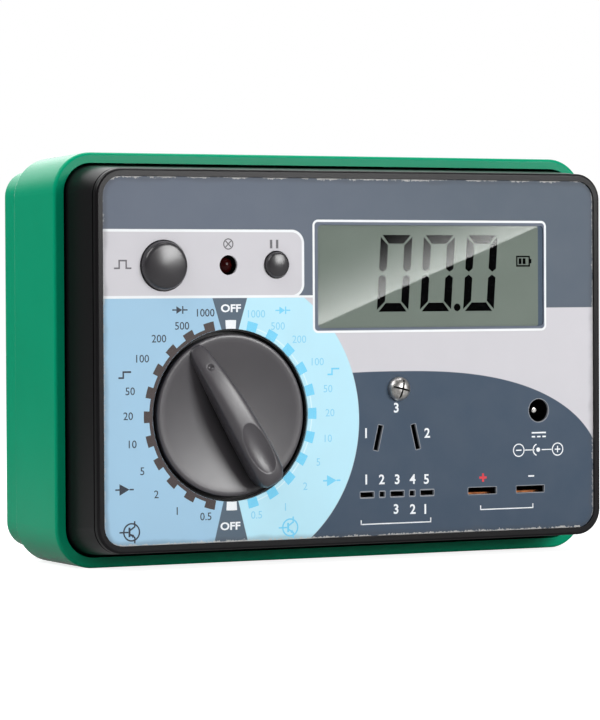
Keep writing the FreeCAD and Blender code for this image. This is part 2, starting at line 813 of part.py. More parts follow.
def display_holder():
    """Open frame that presses the glass from behind and stands on the board."""
    width = "glass_width - 2 * glass_gap"
    height = "glass_height - 2 * glass_gap"
    body = new_body("display_holder", x="display_x", y="glass_y", z="mid_z + display_z")
    outline = sketch_on(body, "outline")
    draw_centred(outline, width, height, "window_corner")
    inside = "2 * (strip_width + holder_wall)"
    draw_centred(outline, f"{width} - {inside}", f"{height} - {inside}", "window_corner")
    pad(body, outline, "board_y - glass_y")
    for name, level in (("lower", -1), ("upper", 1)):
        groove = sketch_on(body, f"{name}_groove")
        middle = f"{level} * (({height}) / 2 - holder_wall / 2 - strip_width / 2)"
        draw_rectangle(groove, f"-({width}) / 2 + 2 * holder_wall", f"({width}) / 2 - 2 * holder_wall",
                       f"{middle} - strip_width / 2", f"{middle} + strip_width / 2")
        pocket(body, groove, "board_y - glass_y")
    return body


def display_strips():
    """Two rubber strips that lead from the glass to the board."""
    half = "(glass_width / 2 - glass_gap - 2 * holder_wall)"
    reach = "(glass_height / 2 - glass_gap - holder_wall / 2 - strip_width / 2)"
    strips = []
    for name, level in (("lower", -1), ("upper", 1)):
        middle = f"mid_z + display_z + {level} * {reach}"
        strips.append(block(f"{name}_strip", f"display_x - {half}", f"display_x + {half}",
                            "glass_y", "board_y",
                            f"{middle} - strip_width / 2", f"{middle} + strip_width / 2"))
    return grouped("display_strips", strips)


# Rotary selector

def turned(extra=0):
    """Turn about the selector's axis: the pointer rests left of the top, as seen from the front."""
    return Rotation(Vector(0, 1, 0), extra - size("rest_angle"))


def handle_section(body, number, station, width, height):
    """One section across the handle: straight sides, sunk base and a round crown."""
    sketch = sketch_on(body, f"section_{number}", role="XY_Plane", back=f"{-station} * handle_reach")
    half = f"{width} * handle_width / 2"
    shoulder = f"{SECTION_SHOULDER} * {half}"
    rise = f"{height} * handle_height"
    crown = f"{SECTION_CROWN} * {half}"
    level = f"-({rise} - {crown})"
    xs = [f"-{half}", half, shoulder, f"-{shoulder}"]
    ys = ["handle_sink", "handle_sink", level, level]
    points = [Vector(size(x), size(y), 0) for x, y in zip(xs, ys)]
    top = Vector(0, -size(rise), 0)
    base = sketch.addGeometry(Part.LineSegment(points[0], points[1]))
    right = sketch.addGeometry(Part.LineSegment(points[1], points[2]))
    arc = sketch.addGeometry(Part.Arc(points[2], top, points[3]))
    left = sketch.addGeometry(Part.LineSegment(points[3], points[0]))
    for element, k in ((base, 0), (right, 1), (left, 3)):
        fix_point(sketch, element, 1, xs[k], ys[k])
    fix_point(sketch, right, 2, xs[2], ys[2])
    sketch.addConstraint(Sketcher.Constraint("Coincident", base, 2, right, 1))
    sketch.addConstraint(Sketcher.Constraint("Coincident", left, 2, base, 1))
    ends = (1, 2) if sketch.getPoint(arc, 1).distanceToPoint(points[2]) < 1e-6 else (2, 1)
    sketch.addConstraint(Sketcher.Constraint("Coincident", arc, ends[0], right, 2))
    sketch.addConstraint(Sketcher.Constraint("Coincident", arc, ends[1], left, 1))
    radius = f"(({shoulder}) ^ 2 + ({crown}) ^ 2) / (2 * {crown})"
    held = sketch.addConstraint(Sketcher.Constraint("Radius", arc, size(radius)))
    sketch.setExpression(f"Constraints[{held}]", linked(radius))
    return sketch


def selector_knob():
    """Flush disc with a finger handle and a thumb dish, and a stem through the well's floor."""
    body = new_body("selector_knob", x="knob_x", y="panel_y", z="mid_z + knob_z", rotation=turned())
    disc = sketch_on(body, "disc")
    draw_circle(disc, "knob_radius")
    pad(body, disc, "knob_thickness")
    round_edges(body, "disc_edge", "knob_round", at_depth("0"))
    stem = sketch_on(body, "stem", back="knob_thickness")
    draw_circle(stem, "stem_radius")
    pad(body, stem, "rotor_y - knob_back_y")
    loft(body, [handle_section(body, k, *section) for k, section in enumerate(HANDLE_SECTIONS)], ruled=False)
    doc.recompute()
    dish = body.newObject("PartDesign::SubtractiveEllipsoid", "thumb_dish")
    bind(dish, Radius1="dish_length / 2", Radius2="dish_width / 2", Radius3="dish_depth")
    place(dish, 0, "-handle_height", "-dish_place")
    screw_hole = sketch_on(body, "screw_hole", back="rotor_y - panel_y")
    draw_circle(screw_hole, "rotor_screw_radius")
    pocket(body, screw_hole, "rotor_screw_length - (rotor_back_y - rotor_y) / 2", forwards=True)
    return body


def switch_rotor():
    """Rotor with two radial bores for the detent and a counterbored screw hole."""
    depth = "rotor_back_y - rotor_y"
    at = ("knob_x", "rotor_y", "mid_z + knob_z")
    wheel = rod("rotor_wheel", "rotor_radius", depth, *at)
    hole = rod("rotor_hole", "rotor_screw_radius + hole_gap", depth, *at)
    middle = f"rotor_y + ({depth}) / 2"
    sink = rod("rotor_sink", "board_head_radius + hole_gap", f"({depth}) / 2", at[0], middle, at[2])
    tools = [hole, sink]
    for number in range(DETENT_BALLS):
        bore = doc.addObject("Part::Cylinder", f"ball_bore_{number + 1}")
        bind(bore, Radius="ball_radius + bore_gap",
             Height="rotor_radius - ball_place + ball_radius + spring_length")
        tools.append(radial(bore, number, "ball_place - ball_radius - spring_length"))
    return carved("switch_rotor", wheel, *tools)


def radial(item, number, reach):
    """Set an object that grows along its own Z on a spoke of the rotor, at a reach from the axis."""
    turn = turned(360 * number / DETENT_BALLS)
    out = turn.multVec(Vector(0, 0, 1))
    across = f"knob_x + ({out.x}) * ({reach})"
    up = f"mid_z + knob_z + ({out.z}) * ({reach})"
    return place(item, across, "ball_y", up, turn)


def detent_balls():
    """Steel balls that ride on the notched ring."""
    balls = []
    for number in range(DETENT_BALLS):
        ball = doc.addObject("Part::Sphere", f"ball_{number + 1}")
        bind(ball, Radius="ball_radius")
        balls.append(radial(ball, number, "ball_place"))
    return grouped("detent_balls", balls)


def detent_springs():
    """Springs behind the balls, as sleeves of the springs' outer size."""
    springs = []
    for number in range(DETENT_BALLS):
        sleeve = doc.addObject("Part::Cylinder", f"spring_{number + 1}_outside")
        core = doc.addObject("Part::Cylinder", f"spring_{number + 1}_inside")
        bind(sleeve, Radius="ball_radius - bore_gap", Height="spring_length")
        bind(core, Radius="ball_radius - bore_gap - spring_wall", Height="spring_length")
        for item in (sleeve, core):
            radial(item, number, "ball_place - ball_radius - spring_length")
        springs.append(carved(f"spring_{number + 1}", sleeve, core))
    return grouped("detent_springs", springs)


def detent_ring():
    """Ring on the inside of the front plate, with a notch for each position of the switch."""
    body = new_body("detent_ring", x="knob_x", y="plate_y", z="mid_z + knob_z")
    ring = sketch_on(body, "ring")
    draw_circle(ring, "ring_radius")
    draw_circle(ring, "crest_radius")
    pad(body, ring, "ring_height")
    notch = sketch_on(body, "notch")
    draw_circle(notch, "notch_radius", "0", "crest_radius")
    cut = pocket(body, notch, "ring_height")
    pattern = body.newObject("PartDesign::PolarPattern", "notches")
    pattern.Originals = [cut]
    pattern.Axis = (next(item for item in body.Origin.OriginFeatures if item.Role == "Y_Axis"), [""])
    pattern.Angle = 360
    pattern.Occurrences = NOTCHES
    body.Tip = pattern
    return body


def switch_wipers():
    """Spring strips under the rotor that run on the board's pads."""
    wipers = []
    for number in range(WIPERS):
        turn = turned(360 * number / WIPERS)
        body = new_body(f"wiper_{number + 1}", x="knob_x", y="rotor_back_y", z="mid_z + knob_z",
                        rotation=turn)
        profile = sketch_on(body, "profile", role="YZ_Plane", back="-wiper_width / 2")
        draw_wiper(profile)
        strip = body.newObject("PartDesign::Pad", f"wiper_strip_{number + 1}")
        strip.Profile = profile
        bind(strip, Length="wiper_width")
        wipers.append(body)
    return grouped("switch_wipers", wipers)


def draw_wiper(sketch):
    """Side view of a wiper: a foot on the rotor, a slope and a contact that runs on the board."""
    inner = "rotor_radius / 2"
    knee = f"{inner} + wiper_length / 3"
    toe = f"{inner} + wiper_length"
    heel = f"{toe} - wiper_length / 4"
    rise = "wiper_rise"
    thick = "wiper_thickness"
    points = [("0", inner), ("0", knee), (f"{rise} - {thick}", heel), (f"{rise} - {thick}", toe),
              (rise, toe), (rise, f"{heel} - {thick}"), (thick, f"{knee} - {thick}"), (thick, inner)]
    vectors = [Vector(size(y), size(z), 0) for y, z in points]
    count = len(points)
    lines = [sketch.addGeometry(Part.LineSegment(vectors[k], vectors[(k + 1) % count])) for k in range(count)]
    for k in range(count):
        sketch.addConstraint(Sketcher.Constraint("Coincident", lines[k], 2, lines[(k + 1) % count], 1))
        fix_point(sketch, lines[k], 1, *points[k])


def rotor_screw():
    """Screw that holds the rotor on the knob's stem, its head sunk in the rotor."""
    seat = "(rotor_y + rotor_back_y) / 2"
    at_z = "mid_z + knob_z"
    head = rod("rotor_screw_head", "board_head_radius", "board_head_height", "knob_x", seat, at_z)
    shank = rod("rotor_screw_shank", "rotor_screw_radius", "rotor_screw_length",
                "knob_x", f"{seat} - rotor_screw_length", at_z)
    return joined("rotor_screw", head, shank)


# Push buttons and lamp

def push_button(label, name):
    """Round cap with a rounded edge, a flange behind the front plate and a stem to its switch."""
    at = {"x": f"{name}_x", "z": f"mid_z + {name}_z"}
    cap_length = f"plate_y + seat_gap - panel_y + {name}_rise"
    body = new_body(label, y=f"panel_y - {name}_rise", **at)
    cap = sketch_on(body, "cap")
    draw_circle(cap, f"{name}_radius")
    pad(body, cap, cap_length)
    round_edges(body, "cap_edge", f"{name}_round", at_depth("0"))
    flange = sketch_on(body, "flange", back=cap_length)
    draw_circle(flange, f"{name}_radius + flange_width")
    pad(body, flange, "flange_thickness")
    stem = sketch_on(body, "stem", back=f"{cap_length} + flange_thickness")
    draw_circle(stem, "plunger_radius + plunger_gap + flange_thickness")
    pad(body, stem, "board_stand - seat_gap - flange_thickness - switch_height - plunger_reach")
    return body


def push_switch(label, name):
    """Switch body on the board, with a bore for its plunger."""
    side = f"{name}_switch_side"
    case = centred_block(f"{label}_case", f"{name}_x", f"{name}_z", side, side,
                         "board_y - switch_height", "board_y")
    bore = rod(f"{label}_bore", "plunger_radius + plunger_gap", f"{name}_travel * 2",
               f"{name}_x", "board_y - switch_height", f"mid_z + {name}_z")
    return carved(label, case, bore)


def push_plunger(label, name):
    """Plunger that the button's stem presses into its switch."""
    return rod(label, "plunger_radius", f"plunger_reach + {name}_travel / 2",
               f"{name}_x", "board_y - switch_height - plunger_reach", f"mid_z + {name}_z")


def warning_lamp():
    """Lamp with a domed end, sunk a little behind the face."""
    body = new_body("warning_lamp", x="lamp_x", y="panel_y + lamp_sink", z="mid_z + lamp_z")
    bulb = sketch_on(body, "bulb", back="lamp_radius")
    draw_circle(bulb, "lamp_radius")
    pad(body, bulb, "lamp_length - lamp_radius")
    doc.recompute()
    dome = body.newObject("PartDesign::AdditiveSphere", "lamp_dome")
    bind(dome, Radius="lamp_radius")
    place(dome, 0, "lamp_radius", 0)
    collar = sketch_on(body, "collar", back="lamp_length - lamp_collar")
    draw_circle(collar, "lamp_radius + lamp_collar")
    pad(body, collar, "lamp_collar")
    return body


def lamp_spacer():
    """Spacer tube from the lamp down to the board, with room for its two leads."""
    at = ("lamp_x", "panel_y + lamp_sink + lamp_length", "mid_z + lamp_z")
    length = "board_y - panel_y - lamp_sink - lamp_length"
    outside = rod("spacer_outside", "lamp_radius + lamp_collar", length, *at)
    inside = rod("spacer_inside", "lamp_radius - lamp_collar", length, *at)
    return carved("lamp_spacer", outside, inside)


# Terminals and sockets

def collector_screw():
    """Pan-head terminal screw through the face."""
    body = new_body("collector_screw", x="collector_x", y="panel_y - collector_head_height",
                    z="mid_z + collector_z")
    head = sketch_on(body, "head")
    draw_circle(head, "collector_head_radius")
    pad(body, head, "collector_head_height")
    round_edges(body, "head_edge", "collector_head_round", at_depth("0"))
    shank = sketch_on(body, "shank", back="collector_head_height")
    draw_circle(shank, "collector_radius")
    pad(body, shank, "plate_y - panel_y + lug_thickness + 2 * nut_height")
    return body


def collector_nut():
    """Hexagon nut that clamps the lug to the inside of the front plate."""
    body = new_body("collector_nut", x="collector_x", y="plate_y + lug_thickness", z="mid_z + collector_z")
    sketch = sketch_on(body, "hexagon")
    angles = [math.radians(60 * k) for k in range(6)]
    places = [(f"{math.cos(a):.12f} * nut_width / {math.sqrt(3):.12f}",
               f"{math.sin(a):.12f} * nut_width / {math.sqrt(3):.12f}") for a in angles]
    vectors = [Vector(size(x), size(z), 0) for x, z in places]
    sides = [sketch.addGeometry(Part.LineSegment(vectors[k], vectors[(k + 1) % 6])) for k in range(6)]
    for k in range(6):
        sketch.addConstraint(Sketcher.Constraint("Coincident", sides[k], 2, sides[(k + 1) % 6], 1))
        fix_point(sketch, sides[k], 1, *places[k])
    draw_circle(sketch, "collector_radius")
    pad(body, sketch, "nut_height")
    return body


def collector_lug():
    """Bent strip from under the nut to the board."""
    top = "mid_z + collector_z + nut_width"
    flat = block("lug_flat", "collector_x - lug_width / 2", "collector_x + lug_width / 2",
                 "plate_y", "plate_y + lug_thickness", "mid_z + collector_z - lug_width / 2", top)
    leg = block("lug_leg", "collector_x - lug_width / 2", "collector_x + lug_width / 2",
                "plate_y", "board_y", f"{top} - lug_thickness", top)
    hole = rod("lug_hole", "collector_radius", "lug_thickness",
               "collector_x", "plate_y", "mid_z + collector_z")
    return carved("collector_lug", joined("lug_strip", flat, leg), hole)


def socket_block(label, x, z, width, height, slots):
    """Insulating block from the front plate to the board, with a blind slot behind each slot of the face."""
    body = new_body(label, y="plate_y", z="mid_z")
    outline = sketch_on(body, "outline")
    draw_rectangle(outline, f"{x} - ({width}) / 2", f"{x} + ({width}) / 2", f"{z} - ({height}) / 2",
                   f"{z} + ({height}) / 2")
    pad(body, outline, "board_stand")
    for name, slot_x, slot_z, length, thickness, lean in slots:
        slot = sketch_on(body, f"{name}_slot", x=slot_x, z=slot_z, turn=lean)
        draw_rectangle(slot, f"-{length} / 2", f"{length} / 2", f"-{thickness} / 2", f"{thickness} / 2")
        pocket(body, slot, "board_stand - block_floor")
        tail = sketch_on(body, f"{name}_tail", back="board_stand - block_floor",
                         x=slot_x, z=slot_z, turn=lean)
        draw_rectangle(tail, "-tail_width / 2", "tail_width / 2",
                       f"-{thickness} / 2", f"-{thickness} / 2 + blade_thickness")
        pocket(body, tail, "block_floor")
    return body


def socket_contacts(label, slots):
    """One blade along the lower wall of each slot, with a tail through the board."""
    blades = []
    for name, slot_x, slot_z, length, thickness, lean in slots:
        body = new_body(f"{name}_blade", x=slot_x, y="plate_y + seat_gap", z=f"mid_z + {slot_z}",
                        rotation=Rotation(Vector(0, 1, 0), -lean))
        blade = sketch_on(body, "blade")
        draw_rectangle(blade, f"-{length} / 2", f"{length} / 2",
                       f"-{thickness} / 2", f"-{thickness} / 2 + blade_thickness")
        pad(body, blade, "board_stand - block_floor - seat_gap")
        tail = sketch_on(body, "tail", back="board_stand - block_floor - seat_gap")
        draw_rectangle(tail, "-tail_width / 2", "tail_width / 2",
                       f"-{thickness} / 2", f"-{thickness} / 2 + blade_thickness")
        pad(body, tail, "block_floor + tail_length")
        blades.append(body)
    return grouped(label, blades)


def slanted_list():
    """Emitter and base slots for the block and its blades."""
    return [(name, x, "terminal_z", "slant_length", "slant_width", lean + 90)
            for name, x, lean in slanted_slots()]


def row_list():
    """The five transistor slots for the block and its blades."""
    return [(f"row_{k + 1}", x, "capacitor_z", length, "row_width", 0) for k, x, length in row_places()]


def capacitor_list():
    """The two capacitor slots for the block and its blades."""
    return [(name, f"capacitor_x + {side} * capacitor_offset", "capacitor_z", "capacitor_length",
             "capacitor_width", 0) for name, side in (("minus", 1), ("plus", -1))]


def emitter_base_block():
    """Block behind the two slanted slots."""
    return socket_block("emitter_base_block", "terminal_x", "terminal_z",
                        "2 * (slant_offset + slant_width + block_margin)", "slant_length + block_margin",
                        slanted_list())


def transistor_block():
    """Block behind the row of five slots."""
    return socket_block("transistor_block", "terminal_x", "capacitor_z",
                        "4 * row_pitch + row_length + 2 * block_margin", "row_width + 2 * block_margin",
                        row_list())


def capacitor_block():
    """Block behind the two capacitor slots."""
    return socket_block("capacitor_block", "capacitor_x", "capacitor_z",
                        "2 * capacitor_offset + capacitor_length + 2 * block_margin",
                        "capacitor_width + 2 * block_margin", capacitor_list())


def power_jack():
    """Barrel jack between the front plate and the board."""
    side = "2 * (jack_radius + jack_wall)"
    case = centred_block("jack_case", "jack_x", "jack_z", side, side, "plate_y", "board_y")
    at_z = "mid_z + jack_z"
    bore = rod("jack_bore", "jack_radius", "board_stand - jack_floor", "jack_x", "plate_y", at_z)
    seat = rod("jack_seat", "jack_base_radius", "jack_floor", "jack_x", "board_y - jack_floor", at_z)
    return carved("power_jack", case, bore, seat)


def power_jack_pin():
    """Centre pin of the jack, rounded at its tip, on a thicker base in the jack's floor."""
    at_z = "mid_z + jack_z"
    pin = rod("jack_pin_rod", "jack_pin_radius", "board_y - jack_floor - panel_y - jack_pin_sink",
              "jack_x", "panel_y + jack_pin_sink", at_z)
    soft = softened("jack_pin_tip", pin, "jack_pin_radius / 2", at_depth("panel_y + jack_pin_sink"))
    base = rod("jack_pin_base", "jack_base_radius", "jack_floor", "jack_x", "board_y - jack_floor", at_z)
    return joined("power_jack_pin", soft, base)


# Circuit board and what stands on its back

def main_board():
    """Circuit board on the front case's posts, with its screw holes and the holes for the contacts' tails."""
    body = new_body("main_board", y="board_y", z="mid_z")
    outline = sketch_on(body, "outline")
    draw_rectangle(outline, "-board_half", "board_half", "-board_half_height", "board_half_height")
    pad(body, outline, "board_thickness")
    holes = sketch_on(body, "holes")
    draw_corners(holes, "board_screw_radius + hole_gap", "post_x", "post_z")
    pocket(body, holes, "board_thickness")
    for name, slot_x, slot_z, length, thickness, lean in slanted_list() + row_list() + capacitor_list():
        tail = sketch_on(body, f"{name}_hole", x=slot_x, z=slot_z, turn=lean)
        draw_rectangle(tail, "-tail_width / 2", "tail_width / 2",
                       f"-{thickness} / 2", f"-{thickness} / 2 + blade_thickness")
        pocket(body, tail, "board_thickness")
    return body


def transformer_core():
    """Ferrite core: two end legs and a middle leg between two yokes."""
    whole = centred_block("core_whole", "transformer_x", "transformer_z", "core_width", "core_height",
                          "board_back_y", "board_back_y + core_depth")
    openings = []
    for name, side in (("left", -1), ("right", 1)):
        x = f"transformer_x + {side} * (core_width - core_leg) / 4"
        openings.append(centred_block(f"core_{name}_window", x, "transformer_z",
                                      "(core_width - 3 * core_leg) / 2", "core_height - 2 * core_leg",
                                      "board_back_y", "board_back_y + core_depth"))
    return carved("transformer_core", whole, *openings)


def transformer_coil():
    """Wound coil round the core's middle leg, swelling out behind it."""
    width = "core_width - 2 * core_leg - 2 * coil_gap"
    height = "core_height - 2 * core_leg - 2 * coil_gap"
    outside = centred_block("coil_outside", "transformer_x", "transformer_z", width, height,
                            "board_back_y", "board_back_y + core_depth + coil_swell")
    leg = centred_block("coil_leg", "transformer_x", "transformer_z", "core_leg", height,
                        "board_back_y", "board_back_y + core_depth")
    return carved("transformer_coil", outside, leg)


def electrolytic_capacitors():
    """Two round capacitors that stand on the back of the board."""
    cans = []
    for number in range(2):
        z = f"mid_z + supply_z - {number} * supply_pitch"
        can = rod(f"supply_can_{number + 1}", "supply_radius", "supply_length", "supply_x", "board_back_y", z)
        far_end = at_depth("board_back_y + supply_length")
        cans.append(softened(f"supply_{number + 1}", can, "supply_chamfer", far_end, kind="Part::Chamfer"))
    return grouped("electrolytic_capacitors", cans)


def film_capacitor():
    """Box-shaped high-voltage capacitor."""
    case = centred_block("film_case", "film_x", "film_z", "film_width", "film_height",
                         "board_back_y", "board_back_y + film_depth")
    return softened("film_capacitor", case, "film_round", at_depth("board_back_y + film_depth"))


def chip(label, name):
    """Chip with a row of legs along each long side."""
    case = centred_block(f"{label}_case", f"{name}_x", f"{name}_z", f"{name}_width", f"{name}_height",
                         "board_back_y + lead_width", "board_back_y + chip_depth")
    legs = []
    count = int(size(f"{name}_width / (4 * lead_width)"))
    for side in (-1, 1):
        for number in range(count):
            x = f"{name}_x + ({number} - {(count - 1) / 2}) * {name}_width / {count}"
            z = f"{name}_z + {side} * ({name}_height + lead_width) / 2"
            legs.append(centred_block(f"{label}_leg_{side}_{number}", x, z, "lead_width", "lead_width",
                                      "board_back_y", "board_back_y + chip_depth / 2"))
    return joined(label, case, *legs)


# Cells, contacts, leads and door

def is_circle(edge):
    """A test for round edges."""
    return edge.Curve.TypeId == "Part::GeomCircle"


def cell_level(number):
    """Height of a cell's axis."""
    return f"bay_bottom + cell_gap + cell_radius + {number} * (2 * cell_radius + cell_gap)"


def battery_cells():
    """Cells across the bay, each turned against the next."""
    cells = []
    for number in range(CELLS):
        z = cell_level(number)
        if number % 2:
            can_x = "-(cell_length + cell_tip) / 2"
            tip_x = f"{can_x} + cell_length"
        else:
            can_x = "-(cell_length + cell_tip) / 2 + cell_tip"
            tip_x = "-(cell_length + cell_tip) / 2"
        can = rod(f"cell_can_{number + 1}", "cell_radius", "cell_length", can_x, "cell_y", z, along="x")
        tip = rod(f"cell_tip_{number + 1}", "cell_tip_radius", "cell_tip", tip_x, "cell_y", z, along="x")
        soft = softened(f"cell_soft_{number + 1}", can, "cell_chamfer", is_circle, kind="Part::Chamfer")
        cells.append(joined(f"cell_{number + 1}", soft, tip))
    return grouped("battery_cells", cells)


def battery_contacts():
    """Leaf contacts on the bay's end walls, bowed towards the cells' ends."""
    leaves = []
    for number in range(CELLS):
        for name, side in (("left", -1), ("right", 1)):
            body = new_body(f"leaf_{name}_{number + 1}", x=f"{side} * bay_width / 2", y="cell_y",
                            z=cell_level(number))
            profile = sketch_on(body, "profile", role="XY_Plane", back="-contact_width / 2")
            draw_leaf(profile, -side)
            strip = body.newObject("PartDesign::Pad", f"leaf_strip_{name}_{number + 1}")
            strip.Profile = profile
            bind(strip, Length="contact_width")
            leaves.append(body)
    return grouped("battery_contacts", leaves)


def draw_leaf(sketch, side):
    """Top view of a leaf: a flat against the wall and a bowed tongue that meets the cell."""
    half = "(cell_radius - contact_thickness)"
    reach = f"{side} * contact_room"
    thick = f"{side} * contact_thickness"
    points = [("0", f"-{half}"), ("0", half), (thick, half), (thick, f"-{half} + 2 * contact_thickness"),
              (reach, "0"), (reach, "-contact_thickness"), (f"2 * {thick}", f"-{half}")]
    vectors = [Vector(size(x), size(y), 0) for x, y in points]
    count = len(points)
    lines = [sketch.addGeometry(Part.LineSegment(vectors[k], vectors[(k + 1) % count])) for k in range(count)]
    for k in range(count):
        sketch.addConstraint(Sketcher.Constraint("Coincident", lines[k], 2, lines[(k + 1) % count], 1))
        fix_point(sketch, lines[k], 1, *points[k])


def battery_door():
    """Sliding door: plate, side tongues and a raised grip."""
    body = new_body("battery_door", y="back_y")
    plate = sketch_on(body, "plate")
    draw_rectangle(plate, "-door_half", "door_half", "door_bottom", "rear_top - door_gap")
    pad(body, plate, "door_lip + door_tongue - door_gap", backwards=False)
    tongue = sketch_on(body, "tongue", back="-door_lip - door_gap")
    draw_rectangle(tongue, "-door_half - door_flange", "door_half + door_flange",
                   "door_bottom", "rear_top - back_round")
    pad(body, tongue, "door_tongue - 2 * door_gap", backwards=False)
    round_edges(body, "top_edge", "door_lip", top_back_edge)
    for number in range(3):
        bar = sketch_on(body, f"grip_{number + 1}")
        level = f"bay_top - {2 * number + 2} * 2 * grip_bar"
        draw_rectangle(bar, "-grip_width / 2", "grip_width / 2", level, f"{level} + grip_bar")
        pocket(body, bar, "grip_depth", forwards=True)
    return body


def top_back_edge(edge):
    """The door's upper edge on the outside of the case."""
    box = edge.BoundBox
    flat = abs(box.YMin) < 1e-4 and abs(box.YMax) < 1e-4
    return flat and abs(box.ZMin - size("rear_top - door_gap")) < 1e-4


def lead(label, side):
    """Insulated wire from the bay's floor to the board, in straight runs joined by arcs."""
    x = side * size("lead_spread")
    z = size("bay_bottom - bay_wall - 2 * lead_radius")
    start = Vector(x, size("bay_front_y"), size("bay_bottom + cell_radius"))
    end = Vector(x, size("board_back_y"), z)
    run = (start.y - end.y) / 3
    points = [start, start - Vector(0, run, 0), end + Vector(0, run, 0), end]
    edges = tangent_path(points)
    profile = Part.Wire(Part.makeCircle(size("lead_radius"), start, Vector(0, -1, 0)))
    item = doc.addObject("Part::Feature", label)
    item.Shape = Part.Wire(edges).makePipeShell([profile], True, False)
    return item


def tangent_path(points):
    """Straight runs between points, with the largest arc at each turn that both runs leave room for."""
    edges = []
    here = points[0]
    for before, corner, after in zip(points, points[1:], points[2:]):
        back = (before - corner).normalize()
        on = (after - corner).normalize()
        trim = 0.45 * min(before.distanceToPoint(corner), after.distanceToPoint(corner))
        middle = (back + on).normalize()
        half = back.getAngle(on) / 2
        radius = trim * math.tan(half)
        bulge = corner + middle * (radius / math.sin(half) - radius)
        edges.append(Part.LineSegment(here, corner + back * trim).toShape())
        edges.append(Part.Arc(corner + back * trim, bulge, corner + on * trim).toShape())
        here = corner + on * trim
    edges.append(Part.LineSegment(here, points[-1]).toShape())
    return edges


def build():
    """Every sub-part in the order in which the tester is put together."""
    fill_sheet()
    return [
        rear_case(),
        front_case(),
        front_panel(),
        display_window(),
        display_glass(),
        display_holder(),
        display_strips(),
        detent_ring(),
        selector_knob(),
        switch_rotor(),
        rotor_screw(),
        switch_wipers(),
        detent_balls(),
        detent_springs(),
        push_button("test_button", "test"),
        push_switch("test_switch", "test"),
        push_plunger("test_plunger", "test"),
        push_button("hold_button", "hold"),
        push_switch("hold_switch", "hold"),
        push_plunger("hold_plunger", "hold"),
        warning_lamp(),
        lamp_spacer(),
        collector_screw(),
        collector_nut(),
        collector_lug(),
        emitter_base_block(),
        socket_contacts("emitter_base_contacts", slanted_list()),
        transistor_block(),
        socket_contacts("transistor_contacts", row_list()),
        capacitor_block(),
        socket_contacts("capacitor_contacts", capacitor_list()),
        power_jack(),
        power_jack_pin(),
        main_board(),
        pan_screws("board_screws", "post_x", "post_z", "board_screw_radius", "board_screw_length",
                   "board_head_radius", "board_head_height", "board_back_y"),
        transformer_core(),
        transformer_coil(),
        electrolytic_capacitors(),
        film_capacitor(),
        chip("converter_chip", "converter"),
        chip("display_chip", "processor"),
        pan_screws("case_screws", "column_x", "column_z", "case_screw_radius", "case_screw_length",
                   "case_head_radius", "case_head_height", "split_y + column_land"),
        battery_cells(),
        battery_contacts(),
        lead("battery_wire_red", 1),
        lead("battery_wire_black", -1),
        battery_door(),
    ]


def check(parts):
    """Every object has recomputed, and every sub-part is a sound solid."""
    failed = [item.Label for item in doc.Objects if "Invalid" in item.State or "Error" in item.State]
    failed += [part.Label for part in parts if part.Shape.isNull() or not part.Shape.isValid()]
    failed += [part.Label for part in parts if not part.Shape.Solids]
    if failed:
        raise RuntimeError("not sound: " + ", ".join(failed))


sub_parts = build()
doc.recompute()
check(sub_parts)
os.makedirs("parts", exist_ok=True)
for sub_part in sub_parts:
    sub_part.Shape.exportStep(f"parts/{sub_part.Label}.step")
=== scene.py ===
import bpy
import math
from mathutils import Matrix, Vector


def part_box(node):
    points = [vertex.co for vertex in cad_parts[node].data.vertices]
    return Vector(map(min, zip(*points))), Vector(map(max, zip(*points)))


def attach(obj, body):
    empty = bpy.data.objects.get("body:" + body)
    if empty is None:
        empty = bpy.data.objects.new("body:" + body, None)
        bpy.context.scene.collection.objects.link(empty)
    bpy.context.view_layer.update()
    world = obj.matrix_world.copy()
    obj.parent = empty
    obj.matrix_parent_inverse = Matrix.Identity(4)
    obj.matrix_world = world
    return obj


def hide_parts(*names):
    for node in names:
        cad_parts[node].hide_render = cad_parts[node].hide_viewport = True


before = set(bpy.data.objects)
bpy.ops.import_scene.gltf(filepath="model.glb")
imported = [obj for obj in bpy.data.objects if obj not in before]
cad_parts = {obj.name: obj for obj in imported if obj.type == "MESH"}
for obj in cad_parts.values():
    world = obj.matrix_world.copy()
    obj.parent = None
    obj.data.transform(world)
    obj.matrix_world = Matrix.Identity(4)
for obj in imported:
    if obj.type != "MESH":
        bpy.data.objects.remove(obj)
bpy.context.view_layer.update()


# Green rear case and its sliding battery door: injection-moulded ABS with a fine spark-eroded texture.
# The tub has a drafted band, a step and a narrower rear part, and four long screws from behind hold it to the
# front case. The door runs in grooves at the back.
mm = 0.001


class Wire:
    """One socket of a finish; arithmetic on it adds Math nodes."""

    def __init__(self, finish, socket):
        self.finish = finish
        self.socket = socket

    def math(self, operation, *others):
        return self.finish.node("ShaderNodeMath", {"operation": operation}, self, *others)

    def __add__(self, other):
        return self.math("ADD", other)

    def __radd__(self, other):
        return self.math("ADD", other)

    def __sub__(self, other):
        return self.math("SUBTRACT", other)

    def __rsub__(self, other):
        return self.finish.node("ShaderNodeMath", {"operation": "SUBTRACT"}, other, self)

    def __mul__(self, other):
        return self.math("MULTIPLY", other)

    def __rmul__(self, other):
        return self.math("MULTIPLY", other)

    def __truediv__(self, other):
        return self.math("DIVIDE", other)

    def __neg__(self):
        return self.math("MULTIPLY", -1.0)

    def __abs__(self):
        return self.math("ABSOLUTE")

    def at_least(self, other):
        return self.math("MAXIMUM", other)

    def at_most(self, other):
        return self.math("MINIMUM", other)

    def root(self):
        return self.math("SQRT")

    def past(self, edge, soft):
        """0 below an edge and 1 above it, with a soft step."""
        settings = {"interpolation_type": "SMOOTHSTEP"}
        return self.finish.node("ShaderNodeMapRange", settings, self, edge - soft, edge + soft)


